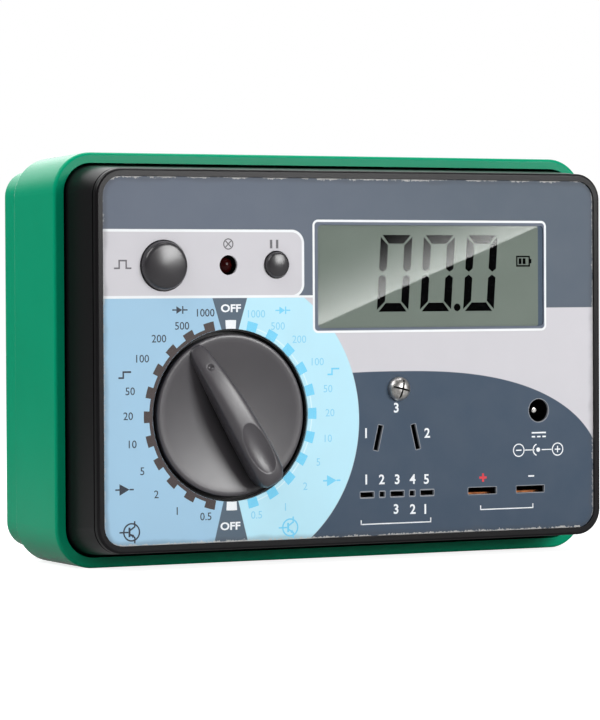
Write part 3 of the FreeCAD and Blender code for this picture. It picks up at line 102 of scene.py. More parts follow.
class Finish:
    """A procedural material on Object coordinates in millimetres."""

    def __init__(self, name, **constants):
        self.material = bpy.data.materials.new(name)
        self.material.use_nodes = True
        self.tree = self.material.node_tree
        self.shader = self.tree.nodes["Principled BSDF"]
        self.paint(**constants)

    def node(self, kind, settings, *values, output=0):
        """A node with its settings made first and its sockets filled in order; None leaves a socket alone."""
        item = self.tree.nodes.new(kind)
        for name, value in settings.items():
            setattr(item, name, value)
        for socket, value in zip(item.inputs, values):
            self.feed(socket, value)
        return Wire(self, item.outputs[output])

    def feed(self, socket, value):
        """Link a wire to a socket, or set a plain value on it."""
        if isinstance(value, Wire):
            self.tree.links.new(value.socket, socket)
        elif value is not None:
            socket.default_value = value

    def paint(self, **values):
        """Feed the shader's own sockets."""
        for socket, value in values.items():
            self.feed(self.shader.inputs[socket.replace("_", " ")], value)
        return self.material

    def show(self, shader):
        """Show another shader in the place of the plain one."""
        self.feed(self.tree.nodes["Material Output"].inputs["Surface"], shader)

    def place(self, scale=1000.0):
        """Object coordinates times a scale."""
        here = self.node("ShaderNodeTexCoord", {}, output=3)
        return self.node("ShaderNodeVectorMath", {"operation": "MULTIPLY"}, here, (scale, scale, scale))

    def axes(self, vector):
        """The three parts of a vector."""
        first = self.node("ShaderNodeSeparateXYZ", {}, vector)
        return [Wire(self, output) for output in first.socket.node.outputs]

    def noise(self, vector, scale, detail=2.0, roughness=0.5):
        """Noise about 0.5, with a scale in cells to the millimetre."""
        return self.node("ShaderNodeTexNoise", {}, vector, None, scale, detail, roughness)

    def blend(self, mask, below, above):
        """One colour where the mask is 0, the other where it is 1."""
        not_colours = [None] * 5
        return self.node("ShaderNodeMix", {"data_type": "RGBA"}, mask, *not_colours, below, above, output=2)

    def bump(self, height, strength, distance):
        return self.node("ShaderNodeBump", {}, strength, distance, None, height)


def shade(red, green, blue):
    """An sRGB colour of 0 to 255 as the renderer's own numbers."""
    parts = [value / 255 for value in (red, green, blue)]
    return tuple(v / 12.92 if v <= 0.04045 else ((v + 0.055) / 1.055) ** 2.4 for v in parts) + (1.0,)


def dress(node, material):
    """Give a CAD node a finish."""
    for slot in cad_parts[node].material_slots:
        slot.material = material


green = Finish("green_abs", Specular_IOR_Level=0.1)
here = green.place()
spark_grain = green.noise(here, 3.2, 3.0, 0.6)
green_cloud = green.noise(here, 0.035, 2.0)
green.paint(
    Base_Color=green.blend(green_cloud.past(0.5, 0.3), shade(0, 146, 106), shade(0, 150, 110)),
    Roughness=0.18 + 0.10 * spark_grain,
    Normal=green.bump(spark_grain, 0.15, 0.03 * mm),
)
dress("rear_case", green.material)
dress("battery_door", green.material)


# Black front case: glossy injection-moulded ABS with a drafted wall, a raised lip round the panel and a fine
# seam behind the lip. Its skirt sits in the green band, and the long screws from behind draw them together.
black = Finish("black_abs", Specular_IOR_Level=0.24)
here = black.place()
black_grain = black.noise(here, 2.6, 3.0, 0.6)
black.paint(
    Base_Color=black.blend(black_grain.past(0.5, 0.3), shade(15, 14, 16), shade(19, 17, 19)),
    Roughness=0.26 + 0.08 * black_grain,
    Normal=black.bump(black_grain, 0.12, 0.03 * mm),
)
dress("front_case", black.material)


# Printed front panel: 0.8 mm polycarbonate, screen printed in slate, blue and pale grey, laid in the front's
# recess. The die-cut edges are chipped to bare white along the top and bottom, and so are the slots' rims.
panel_width = 150.2
panel_height = 97.0
panel_corner = 5.4
panel_middle = 55.2
line_edge = 0.06
field_edge = 0.08
print_pale = shade(206, 204, 209)
print_white = shade(240, 243, 245)
print_slate = shade(97, 106, 121)
print_dim_slate = shade(84, 95, 108)
print_deep_slate = shade(58, 75, 94)
print_wedge = shade(84, 100, 115)
print_blue = shade(160, 199, 225)
print_ice = shade(187, 232, 247)


def rounded_distance(x, up, middle_x, middle_up, half_width, half_height, corner):
    """Distance outwards from a rounded rectangle."""
    across = abs(x - middle_x) - (half_width - corner)
    along = abs(up - middle_up) - (half_height - corner)
    beyond_x = across.at_least(0.0)
    beyond_up = along.at_least(0.0)
    outside = (beyond_x * beyond_x + beyond_up * beyond_up).root()
    return outside + across.at_least(along).at_most(0.0) - corner


def circle_distance(x, up, middle_x, middle_up, radius):
    """Distance outwards from a circle."""
    across = x - middle_x
    along = up - middle_up
    return (across * across + along * along).root() - radius


def leaning(x, up, middle_x, middle_up, lean):
    """Coordinates turned round a middle, for a slot or a handle that leans."""
    turn = math.radians(lean)
    across = x - middle_x
    along = up - middle_up
    return across * math.cos(turn) - along * math.sin(turn), across * math.sin(turn) + along * math.cos(turn)


panel = Finish("panel_print", Specular_IOR_Level=0.15)
here = panel.place()
x, _, height = panel.axes(here)
up = height - panel_middle
ink_cloud = panel.noise(here, 0.12, 3.0)
ink_grain = panel.noise(here, 6.0, 2.0, 0.6)
edge_wander = panel.noise(here, 1.4, 4.0, 0.7)

slate_foot = 16.7
slate_drop = 3.5
slate_drop_from = 30.0
slate_field = (up - (slate_foot - slate_drop * x.past(slate_drop_from, 0.1))).past(0.0, field_edge)
slate = panel.blend(x.past(0.0, 60.0), print_slate, print_dim_slate)
colour = panel.blend(slate_field, print_pale, slate)

white_line_up = 16.68
white_line_half = 0.3
white_line_end = -13.4
white_line = (white_line_half - abs(up - white_line_up)).past(0.0, line_edge)
white_line = white_line * (white_line_end - x).past(0.0, line_edge)
colour = panel.blend(white_line, colour, print_white)

dial_split = -38.2
dial_top = 16.38
dial_rim_middle = (-40.6, -16.6)
dial_rim_radius = 41.1
beyond_rim = circle_distance(x, up, *dial_rim_middle, dial_rim_radius).past(0.0, 0.1)
beyond_rim = beyond_rim * x.past(dial_rim_middle[0], 0.1)
below_top = (dial_top - up).past(0.0, field_edge)
blue = panel.blend((x - dial_split).past(0.0, 0.12), print_blue, print_ice)
colour = panel.blend((1.0 - beyond_rim) * below_top, colour, blue)

swoosh_middle = 11.22
swoosh_half = 66.05
swoosh_power = 2.573
swoosh_rise = 28.24
swoosh_foot = -32.05
swoosh_round = (abs(x - swoosh_middle) / swoosh_half).math("POWER", swoosh_power)
swoosh_top = swoosh_rise * (1.0 - swoosh_round).at_least(0.0).root() + swoosh_foot
colour = panel.blend((swoosh_top - up).past(0.0, 0.1) * beyond_rim, colour, print_deep_slate)


def wedge(half_width, start, flare):
    """A dark wedge at the dial's resting place, half as wide as given at its start."""
    wedge_middle = -38.22
    return (half_width + (up - start) * flare - abs(x - wedge_middle)).past(0.0, field_edge)


wedge_top = wedge(2.54, 8.05, 0.311) * up.past(0.0, 1.0)
wedge_foot = wedge(2.29, -38.0, -0.2567) * (-20.0 - up).past(0.0, 1.0)
colour = panel.blend((wedge_top + wedge_foot) * below_top, colour, print_wedge)

tab_line = 0.7
tab = rounded_distance(x, up, -58.0, 25.475, 42.0, 9.085, 3.7)
colour = panel.blend((-tab).past(0.0, line_edge), colour, print_white)
colour = panel.blend((-tab).past(tab_line, line_edge), colour, print_pale)

border_line = 0.62
border = rounded_distance(x, up, 23.16, 22.05, 36.6, 15.25, 1.6)
colour = panel.blend((-border).past(0.0, line_edge), colour, print_white)
colour = panel.blend((-border).past(border_line, line_edge), colour, print_slate)

jack_middle = (57.2, -15.4)
jack_radius = 3.2
sockets_middle = 12.2
socket_pitch = 4.66
slot_row = -37.2
slanted_up = -21.8
slanted_apart = 5.8
slanted_lean = 13.5
capacitor_middle = 46.7
capacitor_apart = 7.7
slot_corner = 0.2
worn_rim = 0.18
slots = circle_distance(x, up, *jack_middle, jack_radius)
for side in (-1, 1):
    slanted_x = sockets_middle + slanted_apart * side
    turned_x, turned_up = leaning(x, up, slanted_x, slanted_up, -slanted_lean * side)
    slanted_slot = rounded_distance(turned_x, turned_up, 0.0, 0.0, 0.75, 3.5, slot_corner)
    capacitor_x = capacitor_middle + capacitor_apart * side
    capacitor_slot = rounded_distance(x, up, capacitor_x, slot_row, 4.5, 0.95, slot_corner)
    slots = slots.at_most(slanted_slot).at_most(capacitor_slot)
for number, half_width in ((-2, 2.1), (-1, 0.85), (0, 2.1), (1, 0.85), (2, 2.1)):
    socket_x = sockets_middle + socket_pitch * number
    slots = slots.at_most(rounded_distance(x, up, socket_x, slot_row, half_width, 0.85, slot_corner))
colour = panel.blend((worn_rim - slots).past(0.0, field_edge) * 0.6, colour, shade(176, 178, 182))

edge = rounded_distance(x, up, 0.0, 0.0, panel_width / 2, panel_height / 2, panel_corner)
lower_half = 1.0 - up.past(0.0, 1.0)
chip_runs = (panel.noise(here, 0.22, 2.0) + 0.1 * lower_half).past(0.43, 0.1)
chip_width = (0.1 + (edge_wander - 0.38).at_least(0.0) * 2.6) * chip_runs
long_edges = abs(up).past(panel_height / 2 - 1.1, 0.2)
short_edges = abs(x).past(panel_width / 2 - 0.7, 0.2)
chips = (edge + chip_width).past(0.0, line_edge) * long_edges.at_least(short_edges * 0.6)
colour = panel.blend(chips * 0.8, colour, shade(226, 224, 220))
# Painted shade: a narrow band of cloudy width darkens the panel all round its edge, at the foot of the black
# lip.
edge_painted_shade = (edge + 2.2 * ink_cloud).past(0.0, 0.7) * 0.3
colour = panel.blend(edge_painted_shade, colour, shade(60, 62, 66))
colour = panel.blend((ink_cloud - 0.5) * 0.10 + 0.05, colour, shade(150, 152, 156))
panel.paint(
    Base_Color=colour,
    Roughness=0.40 + 0.12 * ink_grain,
    Normal=panel.bump(ink_grain, 0.12, 0.03 * mm),
)
dress("front_panel", panel.material)


# Main board and the small parts on and round it: green solder resist on glass laminate, moulded black chips
# and sockets, white switch mouldings, rubber, ferrite, tape, sleeved cans, dipped film, steel and copper.
# The electrical parts are soldered to the board, which four screws hold to the front case.
def moulded(name, dark, light, roughness, cells):
    """A moulded or dipped finish: a cloudy colour and a fine grain."""
    finish = Finish(name, Specular_IOR_Level=0.45)
    here = finish.place()
    grain = finish.noise(here, cells, 3.0, 0.6)
    cloud = finish.noise(here, cells / 20, 2.0)
    return finish.paint(
        Base_Color=finish.blend(cloud.past(0.5, 0.25), dark, light),
        Roughness=roughness - 0.06 + 0.12 * grain,
        Normal=finish.bump(grain, 0.2, 0.04 * mm),
    )


def bright(name, dark, light, roughness, cells):
    """A bare metal finish: faint drawing lines and small dull patches."""
    finish = Finish(name, Metallic=1.0)
    here = finish.place()
    lines = finish.noise(here, cells, 4.0, 0.7)
    patches = finish.noise(here, cells / 8, 3.0)
    return finish.paint(
        Base_Color=finish.blend(patches.past(0.52, 0.2), light, dark),
        Roughness=roughness - 0.05 + 0.16 * patches,
        Normal=finish.bump(lines, 0.15, 0.02 * mm),
    )


board = Finish("board_resist", Specular_IOR_Level=0.5)
here = board.place()
weave_x, _, weave_up = board.axes(here)
weave = ((weave_x * 6.0).math("SINE") * (weave_up * 6.0).math("SINE")).past(0.0, 0.5)
tracks = board.noise(here, 0.35, 1.0).past(0.5, 0.04)
board.paint(
    Base_Color=board.blend(tracks, shade(24, 84, 52), shade(34, 104, 64)),
    Roughness=0.34 + 0.08 * weave,
    Normal=board.bump(tracks + 0.2 * weave, 0.3, 0.04 * mm),
)
dress("main_board", board.material)

socket_black = moulded("socket_black", shade(20, 20, 21), shade(30, 30, 31), 0.48, 4.0)
for node in ("emitter_base_block", "transistor_block", "capacitor_block", "power_jack",
             "test_switch", "hold_switch", "converter_chip", "display_chip"):
    dress(node, socket_black)
switch_white = moulded("switch_white", shade(214, 211, 202), shade(226, 224, 216), 0.42, 3.0)
for node in ("switch_rotor", "detent_ring", "display_holder", "lamp_spacer", "test_plunger", "hold_plunger"):
    dress(node, switch_white)
dress("display_strips", moulded("strip_rubber", shade(40, 40, 42), shade(52, 52, 55), 0.7, 5.0))
dress("transformer_core", moulded("core_ferrite", shade(52, 50, 49), shade(64, 61, 59), 0.6, 3.5))
dress("transformer_coil", moulded("coil_tape", shade(196, 160, 60), shade(210, 174, 74), 0.4, 2.0))
dress("electrolytic_capacitors", moulded("can_sleeve", shade(28, 34, 62), shade(36, 44, 78), 0.35, 2.0))
dress("film_capacitor", moulded("film_red", shade(150, 44, 34), shade(168, 54, 42), 0.3, 1.5))
screw_steel = bright("screw_steel", shade(150, 150, 152), shade(190, 190, 192), 0.3, 5.0)
for node in ("board_screws", "case_screws", "rotor_screw", "detent_balls", "detent_springs"):
    dress(node, screw_steel)
contact_copper = bright("contact_copper", shade(112, 66, 40), shade(160, 102, 66), 0.34, 6.0)
for node in ("capacitor_contacts", "collector_lug", "switch_wipers"):
    dress(node, contact_copper)
# The contacts in the transistor slots are tarnished, and painted darker still, near black, as painted shade
# for the deep slots.
contact_tarnish_and_shade = bright("contact_tarnish_and_painted_shade", shade(22, 18, 16), shade(36, 29, 24), 0.5, 6.0)
for node in ("emitter_base_contacts", "transistor_contacts"):
    dress(node, contact_tarnish_and_shade)
dress("power_jack_pin", bright("pin_steel", shade(190, 188, 184), shade(232, 230, 226), 0.2, 6.0))


# Four AA cells, their leaf contacts and the two leads to the board: printed shrink sleeves over steel cans
# with bright ends, nickel-plated spring leaves pressed into the bay, and stranded wire in soft insulation.
cells_low, cells_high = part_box("battery_cells")
cell_end = (cells_high[0] - cells_low[0]) / 2 / mm
cell_middle = (cells_high[0] + cells_low[0]) / 2 / mm
bare_end = 2.2
band_from_end = 9.0
band_half = 3.0
cells = Finish("cell_label", Specular_IOR_Level=0.5)
here = cells.place()
along_cell, _, _ = cells.axes(here)
from_middle = abs(along_cell - cell_middle)
wrap = cells.noise(here, 0.6, 2.0)
bare_can = from_middle.past(cell_end - bare_end, 0.05)
label_band = (band_half - abs(from_middle - cell_end + band_from_end)).past(0.0, line_edge)
label = cells.blend(wrap.past(0.5, 0.3), shade(38, 52, 88), shade(46, 62, 102))
label = cells.blend(label_band, label, shade(206, 206, 202))
cells.paint(
    Base_Color=cells.blend(bare_can, label, shade(196, 194, 190)),
    Metallic=bare_can,
    Roughness=0.3 + 0.1 * wrap,
    Normal=cells.bump(wrap, 0.1, 0.05 * mm),
)
dress("battery_cells", cells.material)
dress("battery_contacts", bright("leaf_steel", shade(158, 156, 150), shade(204, 202, 196), 0.26, 6.0))
dress("battery_wire_red", moulded("wire_red", shade(168, 24, 22), shade(184, 34, 30), 0.45, 3.0))
dress("battery_wire_black", moulded("wire_black", shade(22, 22, 23), shade(32, 32, 34), 0.45, 3.0))


# Liquid-crystal display: grey-green reflective glass with black segments that show three noughts and a point.
# It is seen through a clear acrylic window that lies flush in the panel's cut-out.
panel_front = -0.0309
merge_gap = 0.000002
print_thick = 0.016


def clear_selection():
    """Leave edit mode, with nothing selected."""
    if bpy.context.mode != "OBJECT":
        bpy.ops.object.mode_set(mode="OBJECT")
    bpy.ops.object.select_all(action="DESELECT")


def choose(piece):
    """Make a piece the only one selected."""
    clear_selection()
    piece.select_set(True)
    bpy.context.view_layer.objects.active = piece


def edit_new(name):
    """Name the primitive that was just added, and edit all of it."""
    piece = bpy.context.object
    piece.name = name
    bpy.ops.object.mode_set(mode="EDIT")
    bpy.ops.mesh.select_all(action="SELECT")
    return piece


def close_edit():
    """Turn every face outwards and leave edit mode."""
    bpy.ops.mesh.select_all(action="SELECT")
    bpy.ops.mesh.normals_make_consistent(inside=False)
    bpy.ops.object.mode_set(mode="OBJECT")


def draw_line(name, points):
    """Edit mode on a new piece: points in millimetres, joined by edges in their order."""
    clear_selection()
    bpy.ops.mesh.primitive_plane_add(size=mm)
    piece = edit_new(name)
    bpy.ops.mesh.merge(type="CENTER")
    bpy.ops.transform.translate(value=[value * mm for value in points[0]])
    for before, after in zip(points, points[1:]):
        step = [(b - a) * mm for a, b in zip(before, after)]
        bpy.ops.mesh.extrude_vertices_move(TRANSFORM_OT_translate={"value": step})
    bpy.ops.mesh.select_all(action="SELECT")
    return piece


def thicken(thickness):
    """Pull the selected flat face out to its thickness and leave edit mode."""
    bpy.ops.mesh.extrude_region_move(TRANSFORM_OT_translate={"value": (0, 0, thickness * mm)})
    close_edit()


def spin_line(steps, sweep):
    """Spin the drawn line round the origin and merge what meets."""
    bpy.ops.mesh.spin(steps=steps, angle=math.radians(sweep), center=(0, 0, 0), axis=(0, 0, 1))
    bpy.ops.mesh.select_all(action="SELECT")
    bpy.ops.mesh.remove_doubles(threshold=merge_gap)


def draw_patch(name, outline, thickness=print_thick):
    """A thin flat printed shape with the given outline, lying on its back."""
    piece = draw_line(name, [(across, along, 0.0) for across, along in outline])
    bpy.ops.mesh.edge_face_add()
    thicken(thickness)
    return piece


def draw_arc(name, inner, outer, start, sweep, steps, thickness=print_thick):
    """A thin printed part of a ring round the origin; angles in degrees, from the top to the right."""
    turn = math.radians(start)
    piece = draw_line(name, [(r * math.sin(turn), r * math.cos(turn), 0.0) for r in (inner, outer)])
    spin_line(steps, sweep)
    thicken(thickness)
    return piece


def hang(piece, across, above, out=0.0, turn=0.0):
    """Stand a piece that was modelled on its back upright on the panel; place in millimetres."""
    choose(piece)
    piece.rotation_euler = (math.pi / 2, math.radians(turn), 0)
    piece.location = (across * mm, panel_front - out * mm, (panel_middle + above) * mm)
    bpy.ops.object.transform_apply(location=True, rotation=True, scale=True)
    return piece


def gather(pieces, name):
    """Join pieces that belong together."""
    choose(pieces[0])
    for piece in pieces:
        piece.select_set(True)
    bpy.ops.object.join()
    pieces[0].name = name
    return pieces[0]


def finish_piece(piece, material, body):
    """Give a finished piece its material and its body."""
    piece.data.materials.clear()
    piece.data.materials.append(material)
    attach(piece, body)


glass = Finish("display_grey", Specular_IOR_Level=0.5)
here = glass.place()
glass_x, _, glass_height = glass.axes(here)
tint = glass.noise(here, 0.05, 2.0)
film_grain = glass.noise(here, 9.0, 2.0)
cell_grey = glass.blend(tint.past(0.5, 0.25), shade(118, 127, 120), shade(122, 131, 124))
margin = rounded_distance(glass_x, glass_height - panel_middle, 22.8, 22.0, 34.5, 13.9, 0.6)
glass.paint(
    Base_Color=glass.blend(margin.past(0.0, line_edge), cell_grey, shade(84, 96, 112)),
    Roughness=0.008 + 0.004 * film_grain,
)
dress("display_glass", glass.material)

digit_width = 9.75
digit_height = 20.85
digit_bar = 2.35
digit_lean = 1.4
digit_foot = 12.4
digit_lefts = (6.57, 19.97, 33.55)
segment_thick = 0.04
bar_foot = digit_height - digit_bar
half_up = digit_height / 2
top_bar = [(0.55, digit_height), (digit_width - 0.55, digit_height),
           (digit_width - digit_bar - 0.25, bar_foot), (digit_bar + 0.25, bar_foot)]
left_bar = [(0.0, digit_height - 0.55), (digit_bar, bar_foot - 0.45), (digit_bar, half_up + 1.3),
            (digit_bar / 2, half_up + 0.4), (0.0, half_up + 1.2)]
right_bar = [(digit_width - across, along) for across, along in reversed(left_bar)]
segments = [top_bar, left_bar, right_bar]
segments += [[(across, digit_height - along) for across, along in reversed(bar)] for bar in list(segments)]
digits = []
for left in digit_lefts:
    for segment in segments:
        leant = [(left + across + digit_lean * along / digit_height, digit_foot + along)
                 for across, along in segment]
        digits.append(draw_patch("digit_segment", leant, segment_thick))

point_middle = (31.7, 13.45)
point_radius = 1.05
point_turns = [k * math.pi / 12 for k in range(24)]
point = [(point_middle[0] + point_radius * math.cos(turn), point_middle[1] + point_radius * math.sin(turn))
         for turn in point_turns]
digits.append(draw_patch("digit_point", point, segment_thick))
cell_sign = ((50.6, 24.6, 4.4, 0.4), (50.6, 27.2, 4.4, 0.4), (50.6, 24.6, 0.4, 3.0), (54.6, 24.6, 0.4, 3.0),
             (55.0, 25.5, 0.5, 1.2), (51.4, 25.3, 0.9, 1.6), (52.7, 25.3, 0.9, 1.6))
for left, foot, wide, tall in cell_sign:
    corners = [(left, foot), (left + wide, foot), (left + wide, foot + tall), (left, foot + tall)]
    digits.append(draw_patch("cell_sign", corners, segment_thick))
digits = gather(digits, "display_digits")
film_depth = 0.34
hang(digits, -0.3, 0.0, -film_depth)
segment_ink = Finish("segment_black", Specular_IOR_Level=0.5)
here = segment_ink.place()
segment_film = segment_ink.noise(here, 2.0, 2.0)
segment_ink.paint(
    Base_Color=segment_ink.blend(segment_film, shade(4, 4, 5), shade(8, 8, 9)),
    Roughness=0.008 + 0.004 * segment_film,
)
finish_piece(digits, segment_ink.material, "case")


def plate(name, wide, tall, thick, corner):
    """A flat plate on its back with rounded corners, its front at the origin."""
    clear_selection()
    bpy.ops.mesh.primitive_plane_add(size=1.0)
    piece = edit_new(name)
    bpy.ops.transform.resize(value=(wide * mm, tall * mm, 1))
    bpy.ops.mesh.bevel(offset=corner * mm, segments=8, affect="VERTICES")
    bpy.ops.mesh.select_all(action="SELECT")
    thicken(-thick)
    return piece


display_middle = (23.506, 22.0)
display_corner = 1.1
film = hang(plate("display_film", 70.72, 27.72, 0.05, display_corner), *display_middle, -film_depth)
finish_piece(film, glass.material, "case")
window = hang(plate("clear_window", 70.59, 27.6, 0.24, display_corner), *display_middle)
acrylic_index = 1.49
pane = Finish("window_clear")
pane_outside = 1.0 - pane.node("ShaderNodeNewGeometry", {}, output=6)
pane_gloss = 0.3 * pane.node("ShaderNodeFresnel", {}, acrylic_index) * pane_outside
pane_clear = pane.node("ShaderNodeBsdfTransparent", {}, (0.985, 0.99, 0.985, 1))
pane_shine = pane.node("ShaderNodeBsdfGlossy", {}, None, 0.01)
pane.show(pane.node("ShaderNodeMixShader", {}, pane_gloss, pane_clear, pane_shine))
dress("display_window", pane.material)
finish_piece(window, pane.material, "case")
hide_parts("display_window")


# Selector knob: a satin disc that lies flush in its well, moulded in one with a finger handle that rises from
# a narrow tip to a rounded tail. A thumb dish is sunk in the tail and a small dimple marks the pointing end.
knob_middle = (-38.0006, -14.7537)
knob_turn = -30.0


def spun(name, outline, steps=96):
    """A round piece on its back, spun from an outline of (radius, out) in millimetres."""
    piece = draw_line(name, [(radius, 0.0, out) for radius, out in outline])
    spin_line(steps, 360.0)
    close_edit()
    return piece


def smooth_up_to(piece, angle):
    """Shade a piece smooth, with edges sharper than an angle kept."""
    choose(piece)
    bpy.ops.object.shade_smooth_by_angle(angle=math.radians(angle))


def apply_modifier(piece, kind, **settings):
    """Finish a piece with a modifier."""
    choose(piece)
    change = piece.modifiers.new(kind.lower(), kind)
    for name, value in settings.items():
        setattr(change, name, value)
    bpy.ops.object.modifier_apply(modifier=change.name)


def cut_away(piece, tool):
    """Cut a tool out of a piece, and use the tool up."""
    apply_modifier(piece, "BOOLEAN", object=tool, operation="DIFFERENCE", solver="EXACT")
    bpy.data.objects.remove(tool)


knob_dish = 2.0
knob_flat = 20.4
knob_face = [(knob_flat * k / 16, -knob_dish * (1 - (k / 16) ** 2)) for k in range(17)]
knob_rim = [(20.9, 0.0), (21.25, -0.06), (21.47, -0.2), (21.58, -0.42), (21.6, -0.7)]
knob_back = [(21.6, -2.6), (10.0, -2.6), (10.0, -5.2), (0, -5.2)]
knob = spun("knob", knob_face + knob_rim + knob_back, 128)
smooth_up_to(knob, 30)

handle_reach = 21.2
handle_height = 6.8
handle_sink = 2.4
handle_half = 4.2
handle_flare = 0.5
crown_rise = 2.0
crown_square = 0.68
crown_foot = handle_height + handle_sink - crown_rise
foot_half = handle_half + handle_flare
arch = []
for k in range(17):
    across, out = math.cos(k * math.pi / 16), math.sin(k * math.pi / 16)
    across = math.copysign(abs(across) ** crown_square, across)
    arch.append((handle_half * across, 0.0, crown_foot + crown_rise * abs(out) ** crown_square))
handle = draw_line("handle", [(foot_half, 0.0, 0.0)] + arch + [(-foot_half, 0.0, 0.0)])
bpy.ops.mesh.edge_face_add()
bpy.ops.mesh.select_all(action="SELECT")

# From the tip to the tail: place along the handle, width and rise, each as a share of the whole.
handle_stations = [
    (1.0, 0.28, 0.02), (0.985, 0.42, 0.09), (0.93, 0.54, 0.17), (0.8, 0.64, 0.34), (0.62, 0.72, 0.52),
    (0.45, 0.79, 0.67), (0.1, 0.91, 0.88), (-0.35, 0.98, 0.98), (-0.66, 1.0, 1.0), (-0.82, 0.97, 0.99),
    (-0.92, 0.86, 0.95), (-0.975, 0.68, 0.86), (-0.996, 0.5, 0.74), (-1.0, 0.36, 0.6),
]
last_station, last_width, last_rise = 0.0, 1.0, 1.0
for station, width, rise in handle_stations:
    step = {"value": (0, (station - last_station) * handle_reach * mm, 0)}
    if station == 1.0:
        bpy.ops.transform.translate(**step)
    else:
        bpy.ops.mesh.extrude_region_move(TRANSFORM_OT_translate=step)
    taller = (rise * handle_height + handle_sink) / (last_rise * handle_height + handle_sink)
    station_middle = (0, station * handle_reach * mm, 0)
    bpy.ops.transform.resize(value=(width / last_width, 1, taller), center_override=station_middle)
    last_station, last_width, last_rise = station, width, rise
bpy.ops.mesh.select_all(action="SELECT")
bpy.ops.transform.translate(value=(0, 0, -handle_sink * mm))
bpy.ops.mesh.remove_doubles(threshold=merge_gap)
close_edit()
apply_modifier(handle, "SUBSURF", levels=3, render_levels=3)


def scoop(name, along, out, width, length, deep):
    """An egg-shaped tool for a dish or a dimple."""
    clear_selection()
    bpy.ops.mesh.primitive_uv_sphere_add(segments=64, ring_count=32, radius=1.0)
    tool = edit_new(name)
    bpy.ops.transform.resize(value=(width / 2 * mm, length / 2 * mm, deep * mm))
    bpy.ops.transform.translate(value=(0, along * mm, out * mm))
    bpy.ops.object.mode_set(mode="OBJECT")
    return tool


cut_away(handle, scoop("dish", along=-9.5, out=8.8, width=10.0, length=20.6, deep=3.42))
cut_away(handle, scoop("dimple", along=15.0, out=3.15, width=1.9, length=1.9, deep=0.75))
apply_modifier(handle, "REMESH", mode="VOXEL", voxel_size=0.15 * mm)
apply_modifier(handle, "SMOOTH", factor=0.5, iterations=2)
bpy.ops.object.shade_smooth()
gather([knob, handle], "knob")
hang(knob, *knob_middle, turn=knob_turn)

satin = Finish("knob_grey", Specular_IOR_Level=0.78)
here = satin.place()
satin_grain = satin.noise(here, 5.0, 3.0, 0.6)
satin_cloud = satin.noise(here, 0.08, 2.0)
knob_x, knob_depth, knob_height = satin.axes(here)
knob_up = knob_height - panel_middle
handle_x, handle_up = leaning(knob_x, knob_up, *knob_middle, knob_turn)
# Painted shade: the base colour is darkened along the feet and flanks of the handle, short of its tip, where
# shade falls in the crease.
from_flank = abs(handle_x) - handle_half * (0.8 - 0.012 * handle_up)
knob_out = panel_front / mm - knob_depth
beside_handle = 1.0 - from_flank.past(0.8, 3.0)
below_crown = 1.0 - knob_out.past(3.2, 1.8)
short_of_tip = 1.0 - handle_up.past(9.0, 7.0)
crease_painted_shade = beside_handle * below_crown * short_of_tip
satin_grey = satin.blend(satin_cloud.past(0.5, 0.2), shade(64, 61, 65), shade(69, 66, 70))
satin.paint(
    Base_Color=satin.blend(crease_painted_shade * 0.85, satin_grey, shade(22, 21, 23)),
    Roughness=0.31 + 0.10 * satin_grain,
    Normal=satin.bump(satin_grain, 0.18, 0.04 * mm),
)
dress("selector_knob", satin.material)
finish_piece(knob, satin.material, "selector")
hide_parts("selector_knob")


# Push buttons: satin grey caps with a low dome and a rounded shoulder, moulded with a flange that stops them
# behind the front plate and a stem that reaches the switch.
button = Finish("button_grey", Specular_IOR_Level=0.6)
here = button.place()
button_grain = button.noise(here, 6.0, 3.0, 0.6)
button.paint(
    Base_Color=button.blend(button_grain.past(0.5, 0.3), shade(46, 44, 47), shade(52, 50, 53)),
    Roughness=0.20 + 0.08 * button_grain,
    Normal=button.bump(button_grain, 0.15, 0.03 * mm),
)
dome_share = 0.23
crown_share = 0.86
stem_share = 0.4
flange_front = -3.1
flange_back = -4.1
shoulder = [(0.885, 0.95), (0.92, 0.83), (0.955, 0.6), (0.985, 0.28)]
for node, radius, rise in (("test_button", 6.6, 2.6), ("hold_button", 3.5, 1.8)):
    low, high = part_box(node)
    flange = (high[0] - low[0]) / 2 / mm
    stem_end = -(high[1] - panel_front) / mm
    dome = dome_share * rise
    outline = [(crown_share * radius * k / 10, rise - dome * (k / 10) ** 2) for k in range(11)]
    outline += [(across * radius, out * (rise - dome)) for across, out in shoulder]
    outline += [(radius, -0.1), (radius, flange_front), (flange, flange_front), (flange, flange_back),
                (stem_share * radius, flange_back), (stem_share * radius, stem_end), (0, stem_end)]
    cap = spun(node + "_cap", outline)
    smooth_up_to(cap, 40)
    hang(cap, (low[0] + high[0]) / 2 / mm, (low[2] + high[2]) / 2 / mm - panel_middle)
    dress(node, button.material)
    finish_piece(cap, button.material, node)
    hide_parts(node)


# Warning lamp: a 5 mm lamp of tinted clear resin, cast in one with its domed end and collar. It is sunk
# behind its round hole in the panel and stands on a spacer tube on the board.
resin = Finish("lamp_red", Specular_IOR_Level=0.15)
here = resin.place()
resin_cloud = resin.noise(here, 0.8, 2.0)
resin.paint(
    Base_Color=resin.blend(resin_cloud, shade(34, 4, 4), shade(52, 7, 6)),
    Roughness=0.12 + 0.1 * resin_cloud,
)
dress("warning_lamp", resin.material)
